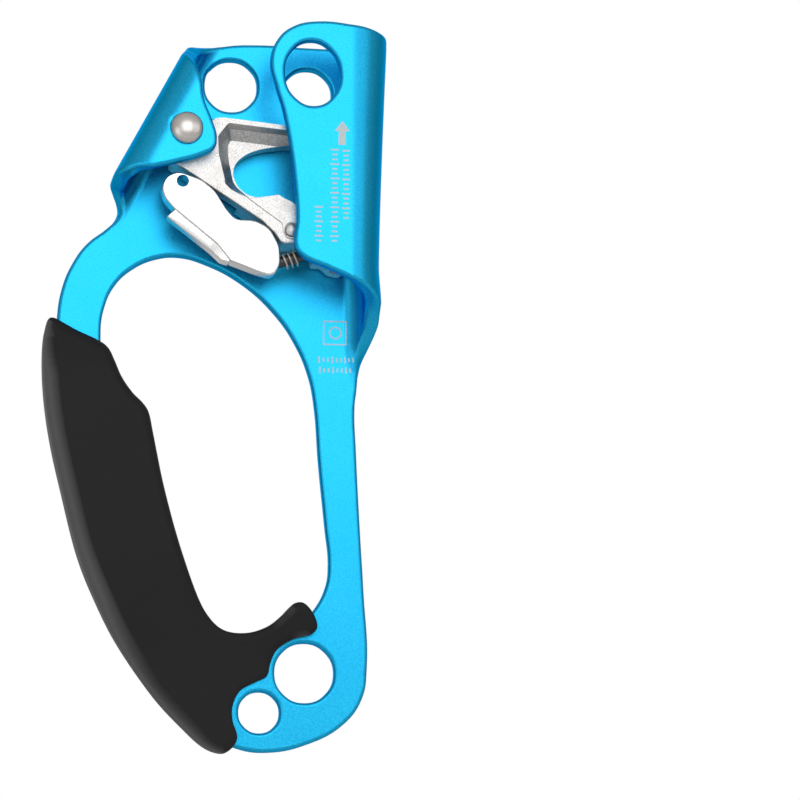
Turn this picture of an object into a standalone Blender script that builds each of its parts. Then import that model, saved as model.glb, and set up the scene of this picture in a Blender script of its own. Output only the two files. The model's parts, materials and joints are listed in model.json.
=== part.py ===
"""Hand ascender: a folded plate body with a sprung toothed cam, a safety catch and a moulded grip.

The rope runs up the Z axis through the folded channel at +X. The front of the ascender faces -Y.
The origin is on the rope's axis, level with the cam's axle.
"""
import math

import bmesh
import bpy
from mathutils import Matrix, Vector

MM = 0.001

# Driving dimensions, millimetres
PLATE_T = 4.0                # thickness of the aluminium plate
PLATE_RIM = 1.0              # rounding along the plate's cut edges
CHANNEL_GAP = 16.0           # clear depth inside the folded channel
PLATE_FRONT = CHANNEL_GAP / 2            # y of the back plate's front face
CHANNEL_R = 6.0              # inner bend radius of the rope channel
CHANNEL_X = 1.5              # x where the channel's bend starts
BRACKET_R = 4.0              # inner bend radius of the cam bracket
BRACKET_START = (-33.15, 19.9)           # a point where the bracket's bend starts
BRACKET_LEAN = math.radians(28.2)        # lean of the bracket's fold away from the Z axis
BEND_STEPS = 8               # facets in a quarter bend
BRACKET_END = 54.0           # the bracket's fold is cut into the blank down to this far along it
CHANNEL_ROWS = (18.0, 6.0, -6.0, -18.0, -30.0, -36.0, -42.0, -47.0)    # heights of edges across the channel
FADE_ROWS = 8                # rows of edges where each bend fades into the flat plate
CHANNEL_FADE = (-63.0, 1.8)  # first height and spacing of the channel's fading rows
BRACKET_FADE = (42.0, 1.15)  # first distance along the bracket and spacing of its fading rows
AXLE = (-40.6, 0.0)          # x and z of the cam's axle
AXLE_R = 3.0
BUSH_R = 3.9
HUB_R = 6.2
WASHER_R = 4.6
WASHER_T = 0.6
GAP = 0.3                    # clearance between neighbouring pieces
CAM_T = 13.0                 # thickness of the cam across the rope
CAM_FIRST_R = 40.4           # axle to the top of the toothed face
CAM_SPIRAL = 0.44            # growth of the toothed face per radian
CAM_SWEEP = (-1.0, -36.6)    # the toothed face's angles below the axle, degrees
CAM_RIM = 0.4                # bevel round the casting's edges
ARM_RISE = 0.45              # the arm stands this far above the rest of the front face
POCKET_CHAMFER = 0.45
POCKET_FOOT = -1.4           # y where the pocket's steep walls meet its sloping ones
POCKET_FLOOR = 1.0           # y of the pocket's floor
MUD_GROOVE = 2.6             # width of the groove down the toothed face
SPRING_SEAT_R = 7.6          # the cam's spring sits in a counterbore behind the hub
SPRING_SEAT = 2.0            # y of the counterbore's floor
TOOTH_R = 0.85               # a tooth at its root
TOOTH_TIP_R = 0.15
TOOTH_REACH = (2.3, 0.9)     # a tooth's tip from its root: outwards and upwards
TOOTH_ROWS = ((-5.2, -3.3, 3.3, 5.2), (-4.4, -2.2, 2.2, 4.4))    # y of the teeth in alternate rows
TOE_PIN = (-13.1, -24.6)     # x and z of the pin in the cam's toe
TOE_PIN_R = 1.0
TOE_HEAD_R = 1.7
TOE_RECESS = (2.0, 1.4)      # radius and depth of the recess around the pin's head
HINGE = (-13.6, -3.7, -32.0)             # a point on the catch's hinge axis
HINGE_RISE = math.radians(18.0)          # the hinge axis rises to the right by this angle
HINGE_PIN_R = 1.4
HINGE_PIN = (-6.2, 12.2)     # the pin's ends along the axis
CATCH_SPRING = (0.28, 2.1, 1.35, 3.44)   # wire radius, coil radius, pitch and turns
CAM_SPRING = (0.5, 5.1, 1.05, 3.0)
CUT_END = 10.0               # y, both ways, beyond every face that a bore crosses
CATCH_BACK = -0.5            # y of the catch's back face
CATCH_T = 6.5                # thickness of the catch
CATCH_RIM = 0.45
CORD_HOLE = (-41.2, -12.7)
CORD_HOLE_R = 1.6
FLANGE_T = 5.2               # depth of the catch's thumb flange
FLANGE_LEAN = 0.36           # the flange's outer edge lies this far behind its inner one
THUMB_SLOT = 0.6             # depth of the long recess in the flange
THUMB_RIB = (0.35, 0.25)     # width and depth of the cuts across the recess
GRIP_SKIN = 0.3              # clearance between grip and plate
GRIP_HALF = 8.6              # half the grip's depth at the palm

CAM_AXIS = Vector((AXLE[0], 0.0, AXLE[1])) * MM
BEND_OUT = Vector((-math.cos(BRACKET_LEAN), math.sin(BRACKET_LEAN)))     # across the bracket's fold
BEND_DOWN = Vector((-math.sin(BRACKET_LEAN), -math.cos(BRACKET_LEAN)))   # along the bracket's fold
HINGE_DIR = Vector((math.cos(HINGE_RISE), 0.0, math.sin(HINGE_RISE)))


# ---------------------------------------------------------------- scene and helpers

def clear_scene():
    """Remove every object that the file opened with."""
    for item in list(bpy.data.objects):
        bpy.data.objects.remove(item, do_unlink=True)


def new_collection(name):
    """A collection linked to the scene."""
    made = bpy.data.collections.new(name)
    bpy.context.scene.collection.children.link(made)
    return made


def surface(name, colour, roughness, metallic):
    """A Principled BSDF material."""
    made = bpy.data.materials.new(name)
    made.use_nodes = True
    shader = made.node_tree.nodes["Principled BSDF"]
    shader.inputs["Base Color"].default_value = (*colour, 1.0)
    shader.inputs["Roughness"].default_value = roughness
    shader.inputs["Metallic"].default_value = metallic
    return made


def put_object(name, mesh, collection, finish=None, origin=None):
    """Link a mesh as an object; its origin moves to a world point without moving the shape."""
    made = bpy.data.objects.new(name, mesh)
    collection.objects.link(made)
    if origin is not None:
        mesh.transform(Matrix.Translation(-origin))
        made.location = origin
    if finish is not None:
        mesh.materials.append(finish)
    return made


def mesh_from(bm, name):
    """Turn a bmesh into a mesh with outward faces, smooth across shallow angles."""
    bmesh.ops.recalc_face_normals(bm, faces=bm.faces)
    mesh = bpy.data.meshes.new(name)
    bm.to_mesh(mesh)
    bm.free()
    mesh.shade_smooth()
    mesh.set_sharp_from_angle(angle=math.radians(35))
    return mesh


def add_cutter(name, bm, cutters):
    """A cutter or joining piece, drawn as wire and left out of renders."""
    made = put_object(name, mesh_from(bm, name), cutters)
    made.hide_render = True
    made.display_type = "WIRE"
    return made


def add_boolean(target, other, operation="DIFFERENCE"):
    """Cut or join another object with the exact solver."""
    boolean = target.modifiers.new(other.name, "BOOLEAN")
    boolean.operation = operation
    boolean.solver = "EXACT"
    boolean.object = other


def outline_solid(loops, thickness, rim, steps=4, grow=0.0, smooth=True):
    """Extrude closed outlines in millimetres, the first the outer one, as a bmesh in metres.

    The outline's plane is local XY and the extrusion runs along local Z, centred on zero.
    Smooth outlines curve through their points, and the others run straight between them.
    """
    data = bpy.data.curves.new("outline", "CURVE")
    data.dimensions = "2D"
    data.fill_mode = "BOTH"
    data.extrude = (thickness / 2 - rim) * MM
    data.bevel_depth = rim * MM
    data.bevel_resolution = 0
    data.offset = (grow - rim) * MM
    data.resolution_u = steps
    for loop in loops:
        spline = data.splines.new("BEZIER")
        spline.bezier_points.add(len(loop) - 1)
        spline.use_cyclic_u = True
        handle = "AUTO" if smooth else "VECTOR"
        for point, place in zip(spline.bezier_points, loop):
            point.co = (place[0] * MM, place[1] * MM, 0.0)
            point.handle_left_type = handle
            point.handle_right_type = handle
    holder = bpy.data.objects.new("outline", data)
    bpy.context.scene.collection.objects.link(holder)
    bpy.context.view_layer.update()
    mesh = bpy.data.meshes.new_from_object(holder.evaluated_get(bpy.context.evaluated_depsgraph_get()))
    bpy.data.objects.remove(holder, do_unlink=True)
    bpy.data.curves.remove(data)
    bm = bmesh.new()
    bm.from_mesh(mesh)
    bpy.data.meshes.remove(mesh)
    bmesh.ops.remove_doubles(bm, verts=bm.verts, dist=0.000002)
    return bm


def stand_up(bm, y_middle):
    """Turn an outline solid to face -Y with its middle at a depth in millimetres."""
    turn = Matrix.Translation((0, y_middle * MM, 0)) @ Matrix.Rotation(math.pi / 2, 4, "X")
    bmesh.ops.transform(bm, matrix=turn, verts=bm.verts)
    return bm


def rounded(corners, segments=3):
    """Corners of (x, z, radius) in millimetres as a straight-sided loop with round corners."""
    places = []
    for index, (x, z, radius) in enumerate(corners):
        here = Vector((x, z))
        back = Vector(corners[index - 1][:2]) - here
        ahead = Vector(corners[(index + 1) % len(corners)][:2]) - here
        half = back.angle(ahead) / 2
        reach = min(radius / math.tan(half), 0.45 * back.length, 0.45 * ahead.length)
        if reach < 0.1:
            places.append((x, z))
            continue
        first = here + back.normalized() * reach
        last = here + ahead.normalized() * reach
        for step in range(segments + 1):
            t = step / segments
            places.append(tuple(first * (1 - t) ** 2 + here * 2 * t * (1 - t) + last * t * t))
    return places


def grown(loop, by):
    """An anticlockwise loop of places moved outwards."""
    places = []
    for index, place in enumerate(loop):
        ahead = Vector(loop[(index + 1) % len(loop)]) - Vector(loop[index - 1])
        places.append(tuple(Vector(place) + Vector((ahead.y, -ahead.x)).normalized() * by))
    return places


def loft(*levels):
    """A solid through loops of as many points, each at its own depth. Millimetres."""
    bm = bmesh.new()
    rows = [[bm.verts.new((x * MM, y * MM, z * MM)) for x, z in loop] for loop, y in levels]
    bm.faces.new(rows[0])
    bm.faces.new(rows[-1])
    for front, back in zip(rows, rows[1:]):
        for index in range(len(front)):
            after = (index + 1) % len(front)
            bm.faces.new((front[index], front[after], back[after], back[index]))
    return bm


def ring(centre, radius, points=8, stretch=1.0, lean=0.0):
    """A clockwise circle or oval of outline points."""
    places = []
    for index in range(points):
        angle = -2 * math.pi * index / points
        across = radius * math.cos(angle)
        along = radius * stretch * math.sin(angle)
        places.append((centre[0] + across * math.cos(lean) - along * math.sin(lean),
                       centre[1] + across * math.sin(lean) + along * math.cos(lean)))
    return places


def rod(start, end, radius, sides=24, end_radius=None):
    """A cylinder or cone between two points in millimetres."""
    first = Vector(start) * MM
    last = Vector(end) * MM
    bm = bmesh.new()
    top = radius if end_radius is None else end_radius
    bmesh.ops.create_cone(bm, cap_ends=True, segments=sides, radius1=radius * MM, radius2=top * MM,
                          depth=(last - first).length)
    turn = (last - first).to_track_quat("Z", "Y").to_matrix().to_4x4()
    bmesh.ops.transform(bm, matrix=Matrix.Translation((first + last) / 2) @ turn, verts=bm.verts)
    return bm


def turned(name, profile, centre, axis, collection, finish, steps=32):
    """A turned piece: a closed profile of (radius, height) in millimetres, swept about an axis."""
    bm = bmesh.new()
    verts = [bm.verts.new((radius * MM, 0.0, height * MM)) for radius, height in profile]
    for first, last in zip(verts, verts[1:]):
        bm.edges.new((first, last))
    if profile[0][0] > 0.0:
        bm.edges.new((verts[-1], verts[0]))
    mesh = bpy.data.meshes.new(name)
    bm.to_mesh(mesh)
    bm.free()
    made = put_object(name, mesh, collection, finish)
    made.location = Vector(centre) * MM
    made.rotation_mode = "QUATERNION"
    made.rotation_quaternion = Vector(axis).to_track_quat("Z", "Y")
    screw = made.modifiers.new("turn", "SCREW")
    screw.steps = steps
    screw.render_steps = steps
    screw.use_merge_vertices = True
    screw.merge_threshold = 0.00001
    screw.use_smooth_shade = True
    return made


def wire(name, places, radius, collection, finish):
    """A round wire through points in millimetres, with closed ends."""
    data = bpy.data.curves.new(name, "CURVE")
    data.dimensions = "3D"
    data.bevel_depth = radius * MM
    data.bevel_resolution = 2
    data.use_fill_caps = True
    spline = data.splines.new("POLY")
    spline.points.add(len(places) - 1)
    for point, place in zip(spline.points, places):
        point.co = (*(Vector(place) * MM), 1.0)
    data.materials.append(finish)
    made = bpy.data.objects.new(name, data)
    collection.objects.link(made)
    return made


# ---------------------------------------------------------------- frame

def bend_point(length, strength, radius, flat):
    """Follow the sheet's inner face through a U bend: distance out, distance forward, angle."""
    quarter = radius * math.pi / 2
    out, forward, angle = 0.0, 0.0, 0.0
    bend = strength / radius
    for stretch, curve in ((quarter, bend), (flat, 0.0), (quarter, bend), (1e3, 0.0)):
        step = min(length, stretch)
        if curve > 1e-6:
            out += (math.sin(angle + curve * step) - math.sin(angle)) / curve
            forward += (math.cos(angle) - math.cos(angle + curve * step)) / curve
            angle += curve * step
        else:
            out += math.cos(angle) * step
            forward += math.sin(angle) * step
        length -= step
        if length <= 0.0:
            break
    return out, forward, angle


def sheet_length(radius):
    """Inner-face length of a whole U bend around the channel's gap."""
    return math.pi * radius + CHANNEL_GAP - 2 * radius


def ease(value):
    """Smooth step from 0 to 1."""
    value = min(max(value, 0.0), 1.0)
    return value * value * (3 - 2 * value)


def channel_strength(height):
    """The channel's bend fades into the flat leg below it."""
    return ease((height + 63.0) / 12.0)


def channel_width(height):
    """How far the channel's bend reaches out: it narrows downwards and flares again at its foot."""
    taper = min(max((height + 33.0) / 57.0, 0.0), 1.0) ** 1.3
    full = 0.73 + 0.32 * taper + 0.1 * ease((-33.0 - height) / 10.0)
    return 1.0 + (full - 1.0) * channel_strength(height)


def bracket_strength(along):
    """The bracket's bend fades into the flat plate below it."""
    return ease((50.0 - along) / 8.0)


def fold(u, v, depth):
    """Where a point of the flat blank goes when the plate is folded. Millimetres."""
    offset = Vector((u - BRACKET_START[0], v - BRACKET_START[1]))
    out, along = offset.dot(BEND_OUT), offset.dot(BEND_DOWN)
    if u > CHANNEL_X:
        reach, forward, angle = bend_point(u - CHANNEL_X, channel_strength(v), CHANNEL_R,
                                           CHANNEL_GAP - 2 * CHANNEL_R)
        x = CHANNEL_X + max(reach, 0.0) * channel_width(v) + min(reach, 0.0) + depth * math.sin(angle)
        return x, PLATE_FRONT - forward + depth * math.cos(angle), v
    if out > 0.0 and along < 52.0:
        reach, forward, angle = bend_point(out, bracket_strength(along), BRACKET_R,
                                           CHANNEL_GAP - 2 * BRACKET_R)
        place = BEND_OUT * (reach + depth * math.sin(angle)) + BEND_DOWN * along
        y = PLATE_FRONT - forward + depth * math.cos(angle)
        return BRACKET_START[0] + place.x, y, BRACKET_START[1] + place.y
    return u, PLATE_FRONT + depth, v


def on_wing(x, z):
    """Blank position of a point on the channel's front wing."""
    return 2 * CHANNEL_X + sheet_length(CHANNEL_R) - x, z


def on_channel(length, z):
    """Blank position at a sheet length round the channel's bend."""
    return CHANNEL_X + length, z


def on_bracket(length, along):
    """Blank position at a sheet length round the bracket's bend."""
    place = Vector(BRACKET_START) + BEND_OUT * length + BEND_DOWN * along
    return place.x, place.y


def on_flap(x, z):
    """Blank position of a point on the bracket's front flap."""
    offset = Vector((x - BRACKET_START[0], z - BRACKET_START[1]))
    return on_bracket(sheet_length(BRACKET_R) - offset.dot(BEND_OUT), offset.dot(BEND_DOWN))


def loop_outline():
    """The hand opening's outline, clockwise: the part beside the thumb, the leg and the grip."""
    return [(-60.9, -50.0), (-60.0, -43.2), (-57.3, -37.2), (-52.7, -32.8), (-46.8, -30.1), (-41.0, -29.5),
            (-34.4, -31.1), (-24.5, -36.2), (-15.8, -44.1), (-10.4, -52.0), (-7.1, -59.9),
            (-5.7, -66.5), (-4.3, -83.1), (-2.6, -99.6), (-1.7, -108.8), (-2.4, -114.8),
            (-5.9, -121.4), (-12.5, -128.0), (-21.0, -132.8), (-29.5, -133.0), (-36.8, -126.5),
            (-42.2, -114.0), (-46.6, -98.8), (-50.4, -82.0), (-54.2, -71.0), (-59.4, -61.0)]


def body_outline():
    """The flat blank's outer edge, anticlockwise from the wing's lower corner."""
    wing = [on_wing(-11.6, -31.6), on_wing(-12.7, -29.4), on_wing(-12.3, -22.4), on_wing(-13.0, -12.4),
            on_wing(-14.2, -3.2), on_wing(-16.1, 6.2), on_wing(-17.9, 12.0), on_wing(-19.2, 18.6),
            on_wing(-17.4, 24.2), on_wing(-13.2, 27.8), on_wing(-7.0, 29.2), on_wing(2.0, 28.6)]
    top = [on_channel(16.0, 27.4), on_channel(8.0, 26.8), (-8.0, 26.9), (-20.0, 27.3)]
    bracket_top = [on_bracket(0.0, -7.6), on_bracket(4.0, -3.6), on_bracket(8.0, -0.8), on_bracket(13.0, 1.4),
                   on_bracket(18.0, 4.6)]
    flap = [on_flap(-36.3, 8.2), on_flap(-34.0, 2.2), on_flap(-32.9, -2.0), on_flap(-33.5, -4.8),
            on_flap(-36.2, -6.5), on_flap(-42.7, -8.6), on_flap(-49.2, -10.2)]
    bracket_foot = [on_bracket(18.6, 36.0), on_bracket(17.0, 38.0), on_bracket(14.0, 39.8),
                    on_bracket(9.0, 40.7), on_bracket(5.4, 41.0), on_bracket(3.6, 42.0),
                    on_bracket(2.4, 43.4), on_bracket(1.9, 45.4), on_bracket(3.2, 49.8)]
    palm_side = [(-64.7, -26.7), (-68.1, -31.4), (-71.0, -38.4), (-72.2, -46.7), (-72.4, -58.0),
                 (-71.4, -70.0), (-67.9, -87.0), (-63.3, -104.0), (-58.0, -117.0), (-50.2, -131.0),
                 (-40.6, -144.0), (-31.0, -153.4), (-24.5, -156.6), (-17.2, -157.4)]
    foot = [(-7.4, -155.4), (2.2, -150.2), (7.0, -143.6), (8.3, -135.5)]
    leg = [(7.4, -116.0), (6.4, -99.5), (5.4, -80.0), (5.0, -68.0)]
    channel_foot = [on_channel(4.0, -63.4), on_channel(4.3, -59.6), on_channel(4.6, -56.2),
                    on_channel(5.5, -53.6), on_channel(6.9, -51.0), on_channel(8.6, -48.7),
                    on_channel(10.8, -46.4), on_channel(14.0, -43.9), on_channel(18.0, -41.0)]
    wing_foot = [on_wing(2.4, -38.2), on_wing(-4.0, -35.3)]
    return wing + top + bracket_top + flap + bracket_foot + palm_side + foot + leg + channel_foot + wing_foot


def body_holes():
    """Every hole in the blank, clockwise."""
    return [loop_outline(),
            ring((-27.7, 16.0), 6.85),                                   # upper hole in the back plate
            ring((-7.7, 14.5), 6.4),                                     # back half of the rope-side hole
            ring(on_wing(-8.4, 15.4), 7.1, stretch=1.2, lean=math.radians(-5)),     # its oval front half
            ring((-7.9, -137.1), 7.65),                                  # large lower hole
            ring((-19.5, -147.3), 5.25),                                 # small lower hole
            ring(AXLE, AXLE_R + 0.2),                                    # rear axle hole
            ring(on_flap(*AXLE), AXLE_R + 0.2)]                          # front axle hole


def slice_mesh(bm, point, normal, keep):
    """Cut edges into the faces that a plane crosses, where keep says so."""
    faces = [face for face in bm.faces if keep(face.calc_center_median())]
    geometry = list({item for face in faces for item in (face, *face.edges, *face.verts)})
    bmesh.ops.bisect_plane(bm, geom=geometry, plane_co=point, plane_no=normal, dist=1e-7)


def in_channel(centre):
    """Whether a point of the blank, in metres, is in the channel's fold."""
    return centre.x > CHANNEL_X * MM


def bracket_place(centre):
    """A blank point's distances out from the bracket's fold and along it."""
    offset = Vector(centre[:2]) / MM - Vector(BRACKET_START)
    return offset.dot(BEND_OUT), offset.dot(BEND_DOWN)


def slice_for_bends(bm):
    """Give the blank a row of edges at each facet of the two bends."""
    for start in (0.0, sheet_length(CHANNEL_R) - CHANNEL_R * math.pi / 2):
        for index in range(BEND_STEPS + 1):
            length = start + CHANNEL_R * math.pi / 2 * index / BEND_STEPS
            slice_mesh(bm, ((CHANNEL_X + length) * MM, 0, 0), (1, 0, 0), lambda centre: True)
    for start in (0.0, sheet_length(BRACKET_R) - BRACKET_R * math.pi / 2):
        for index in range(BEND_STEPS + 1):
            place = Vector(on_bracket(start + BRACKET_R * math.pi / 2 * index / BEND_STEPS, 0.0)) * MM
            slice_mesh(bm, (place.x, place.y, 0), (BEND_OUT.x, BEND_OUT.y, 0),
                       lambda centre: bracket_place(centre)[1] < BRACKET_END)
    for height in CHANNEL_ROWS:
        slice_mesh(bm, (0, height * MM, 0), (0, 1, 0), in_channel)
    for index in range(FADE_ROWS):
        height = CHANNEL_FADE[0] + CHANNEL_FADE[1] * index
        slice_mesh(bm, (0, height * MM, 0), (0, 1, 0), in_channel)
        place = Vector(on_bracket(0.0, BRACKET_FADE[0] + BRACKET_FADE[1] * index)) * MM
        slice_mesh(bm, (place.x, place.y, 0), (BEND_DOWN.x, BEND_DOWN.y, 0),
                   lambda centre: bracket_place(centre)[0] > 0.0)


def make_frame(parts, finish):
    """The folded body: one blank with its holes, cut flat and then folded twice."""
    bm = outline_solid([body_outline()] + body_holes(), PLATE_T, PLATE_RIM, steps=3)
    slice_for_bends(bm)
    for vert in bm.verts:
        folded = fold(vert.co.x / MM, vert.co.y / MM, PLATE_T / 2 - vert.co.z / MM)
        vert.co = Vector(folded) * MM
    bmesh.ops.remove_doubles(bm, verts=bm.verts, dist=0.000002)
    bmesh.ops.dissolve_limit(bm, angle_limit=math.radians(1.0), verts=bm.verts, edges=bm.edges)
    bmesh.ops.triangulate(bm, faces=bm.faces)
    return put_object("frame", mesh_from(bm, "frame"), parts, finish)


# ---------------------------------------------------------------- grip

def grip_outline():
    """The grip's edge seen from the front, anticlockwise from its top outer corner."""
    outer = [(-73.4, -46.6), (-75.4, -50.0), (-75.8, -58.0), (-75.1, -68.0), (-73.4, -78.6), (-70.5, -91.0),
             (-66.3, -107.0), (-61.5, -119.0), (-55.6, -130.5), (-46.6, -143.3), (-38.6, -151.8),
             (-33.4, -156.2), (-28.9, -157.7), (-26.2, -156.2)]
    scallops = [(-25.1, -153.4), (-26.3, -149.5), (-26.3, -145.6), (-24.4, -141.8), (-20.5, -139.6),
                (-17.6, -138.0), (-16.7, -134.6), (-15.0, -131.2), (-10.8, -128.5), (-6.4, -127.3)]
    hook = [(-4.8, -125.2), (-6.0, -121.9), (-8.4, -119.4), (-11.0, -119.6), (-13.6, -122.2)]
    inner = [(-17.6, -125.4), (-22.8, -127.1), (-28.4, -126.6), (-32.4, -123.5), (-35.9, -117.4),
             (-40.5, -104.6), (-44.5, -90.2), (-47.3, -77.0), (-48.5, -71.4), (-50.1, -68.7),
             (-52.8, -66.0), (-55.6, -62.0), (-57.4, -57.8), (-59.0, -54.5), (-61.4, -52.5),
             (-66.9, -49.9)]
    return outer + scallops + hook + inner


def make_grip(parts, cutters, finish):
    """The moulded grip: a swollen outline, thinner by the holes, hollowed for the plate."""
    bm = outline_solid([grip_outline()], 2 * GRIP_HALF, 3.0)
    for vert in bm.verts:
        slim = 0.42 + 0.58 * ease((vert.co.y / MM + 140.0) / 34.0)
        tip = 0.62 + 0.38 * ease((-46.0 - vert.co.y / MM) / 16.0)
        vert.co.z *= slim * tip
    stand_up(bm, PLATE_FRONT + PLATE_T / 2)
    grip = put_object("grip", mesh_from(bm, "grip"), parts, finish)
    core = outline_solid([body_outline(), loop_outline()], PLATE_T + 2 * GRIP_SKIN, 0.0, grow=GRIP_SKIN)
    slot = add_cutter("grip_core", stand_up(core, PLATE_FRONT + PLATE_T / 2), cutters)
    add_boolean(grip, slot)
    return grip


# ---------------------------------------------------------------- cam

def spiral(angle, inset=0.0):
    """A point of the toothed face, at degrees below the axle's level."""
    turn = math.radians(angle)
    radius = CAM_FIRST_R * math.exp(CAM_SPIRAL * (math.radians(CAM_SWEEP[0]) - turn)) - inset
    return AXLE[0] + radius * math.cos(turn), AXLE[1] + radius * math.sin(turn)


def face_angles(count):
    """Evenly spaced angles down the toothed face."""
    first, last = CAM_SWEEP
    return [first + (last - first) * index / (count - 1) for index in range(count)]


def hub_arc(first, last, count):
    """Points round the cam's hub between two angles in degrees."""
    places = []
    for index in range(count):
        angle = math.radians(first + (last - first) * index / (count - 1))
        places.append((AXLE[0] + HUB_R * math.cos(angle), AXLE[1] + HUB_R * math.sin(angle)))
    return places


def cam_outline():
    """The cam from the front, anticlockwise from the arm's end under the flap."""
    arm = [(-44.8, -6.8, 1.2), (-20.6, -22.5, 6.0), (-17.4, -25.6, 4.0), (-15.6, -28.3, 2.0)]
    boss = [(-10.4, -27.8, 1.0), (-7.4, -27.4, 0.6)]
    toe = [(-7.4, -32.4, 1.2), (-4.6, -32.5, 1.0), (-2.6, -34.2, 2.0), (0.8, -34.9, 2.0)]
    face = [(*spiral(angle), 0.5) for angle in reversed(face_angles(10))]
    crown = [(-0.8, 1.9, 1.0), (-14.5, 2.7, 6.0), (-33.2, 4.6, 6.0)]
    return rounded(arm + boss + toe + face + crown, 2) + hub_arc(75, 205, 8)


def pocket_loops():
    """The pocket's outline above its mouth, at the mouth, at its steep walls' foot and at its floor."""
    mouth = [(-29.5, 2.9, 1.2), (-32.1, -0.5, 1.6), (-31.9, -5.0, 4.0), (-30.0, -13.0, 1.5),
             (-28.6, -14.3, 1.0), (-24.1, -16.7, 0.6), (-15.8, -15.3, 0.4), (-12.2, -17.8, 0.4),
             (-7.4, -18.5, 1.5), (-5.0, -15.5, 1.5), (-5.0, -1.0, 1.0), (-6.4, 0.6, 0.8)]
    foot = [(-28.9, 2.5, 0.8), (-29.7, 0.0, 1.2), (-29.2, -5.0, 4.0), (-27.9, -11.4, 1.5),
            (-26.9, -12.9, 1.0), (-23.4, -15.9, 0.6), (-15.8, -15.0, 0.4), (-12.2, -17.5, 0.4),
            (-7.4, -18.2, 1.5), (-5.2, -15.5, 1.5), (-5.2, -1.3, 1.0), (-6.6, 0.3, 0.8)]
    floor = [(-28.4, -0.1, 0.8), (-29.0, -1.6, 1.2), (-28.8, -5.4, 4.0), (-27.7, -11.4, 1.5),
             (-26.7, -12.9, 1.0), (-23.3, -15.8, 0.6), (-15.8, -14.9, 0.4), (-12.2, -17.4, 0.4),
             (-7.5, -18.1, 1.5), (-5.3, -15.5, 1.5), (-5.3, -3.6, 1.0), (-6.7, -2.3, 0.8)]
    places = grown([corner[:2] for corner in mouth], POCKET_CHAMFER)
    brim = [(x, z, corner[2]) for (x, z), corner in zip(places, mouth)]
    return [rounded(corners) for corners in (brim, mouth, foot, floor)]


def window_outline():
    """The opening through the cam's floor."""
    return [(-12.6, -1.2), (-17.3, -1.6), (-22.3, -2.8), (-25.1, -4.3), (-27.0, -6.3), (-27.6, -8.4),
            (-27.1, -10.8), (-25.8, -12.8), (-23.0, -14.6), (-17.6, -15.0), (-14.6, -16.6), (-11.6, -17.6),
            (-7.8, -17.4), (-5.8, -14.0), (-5.8, -5.6), (-8.4, -2.2)]


def face_step():
    """Everything above the arm's raised rib: the rest of the front face lies lower."""
    line = [(-39.6, -5.9, 0.5), (-29.6, -12.7, 2.0), (-24.5, -16.7, 2.0), (-15.8, -22.9, 1.0),
            (-15.2, -25.8, 1.5), (-13.1, -26.8, 1.2), (-11.0, -25.8, 1.5), (-10.2, -23.4, 1.0)]
    return rounded(line + [(9.0, -23.4, 0.5), (9.0, 8.0, 0.5), (-33.0, 8.0, 0.5), (-33.0, -3.0, 0.5)])


def make_teeth():
    """Rows of hooked spikes on the toothed face."""
    bm = bmesh.new()
    outwards, upwards = TOOTH_REACH
    for row, angle in enumerate(face_angles(11)[1:-1]):
        base = Vector(spiral(angle, inset=0.6))
        up = (Vector(spiral(angle + 0.1)) - Vector(spiral(angle - 0.1))).normalized()
        out = Vector((up.y, -up.x))
        tip = base + out * outwards + up * upwards
        for y in TOOTH_ROWS[row % 2]:
            spike = rod((base.x, y, base.y), (tip.x, y, tip.y), TOOTH_R, 8, end_radius=TOOTH_TIP_R)
            mesh = bpy.data.meshes.new("spike")
            spike.to_mesh(mesh)
            spike.free()
            bm.from_mesh(mesh)
            bpy.data.meshes.remove(mesh)
    return bm


def through(place, radius, first=-CUT_END, last=CUT_END, sides=24):
    """A round cutter along Y at a place, from one depth to another."""
    return rod((place[0], first, place[1]), (place[0], last, place[1]), radius, sides)


def front_cutter(loop, floor, depth=4.0):
    """A cutter that takes everything inside an outline away in front of a depth."""
    return stand_up(outline_solid([loop], depth, 0.0, smooth=False), floor - depth / 2)


def hinge_point(along):
    """A point on the catch's hinge axis, at millimetres along it."""
    return tuple(Vector(HINGE) + HINGE_DIR * along)


def make_cam(parts, cutters, finish):
    """The cast cam with its pocket, window, toe, bores and teeth."""
    bm = stand_up(outline_solid([cam_outline()], CAM_T, CAM_RIM, smooth=False), 0.0)
    cam = put_object("cam", mesh_from(bm, "cam"), parts, finish, CAM_AXIS)
    face = -CAM_T / 2
    chamfer_foot = face + ARM_RISE + POCKET_CHAMFER / 2
    levels = zip(pocket_loops(), (face - GAP, chamfer_foot, POCKET_FOOT, POCKET_FLOOR))
    toe_radius, toe_depth = TOE_RECESS
    cuts = [("cam_pocket", loft(*levels)),
            ("cam_window", stand_up(outline_solid([window_outline()], CAM_T + 4, 0.0), 0.0)),
            ("cam_arm_relief", arm_relief()),
            ("cam_face_step", front_cutter(face_step(), face + ARM_RISE)),
            ("cam_bore", through(AXLE, BUSH_R + GAP)),
            ("cam_spring_seat", through(AXLE, SPRING_SEAT_R, SPRING_SEAT, sides=32)),
            ("cam_toe_recess", through(TOE_PIN, toe_radius, last=face + toe_depth)),
            ("cam_toe_bore", through(TOE_PIN, TOE_PIN_R + GAP, last=4.0, sides=20)),
            ("cam_hinge_bore", rod(hinge_point(2.0), hinge_point(HINGE_PIN[1] + 0.4), HINGE_PIN_R + GAP, 20)),
            ("cam_groove", stand_up(outline_solid([groove_outline()], MUD_GROOVE, 0.0), 0.0))]
    for name, cutter in cuts:
        add_boolean(cam, add_cutter(name, cutter, cutters))
    add_boolean(cam, add_cutter("cam_teeth", make_teeth(), cutters), "UNION")
    return cam


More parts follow.
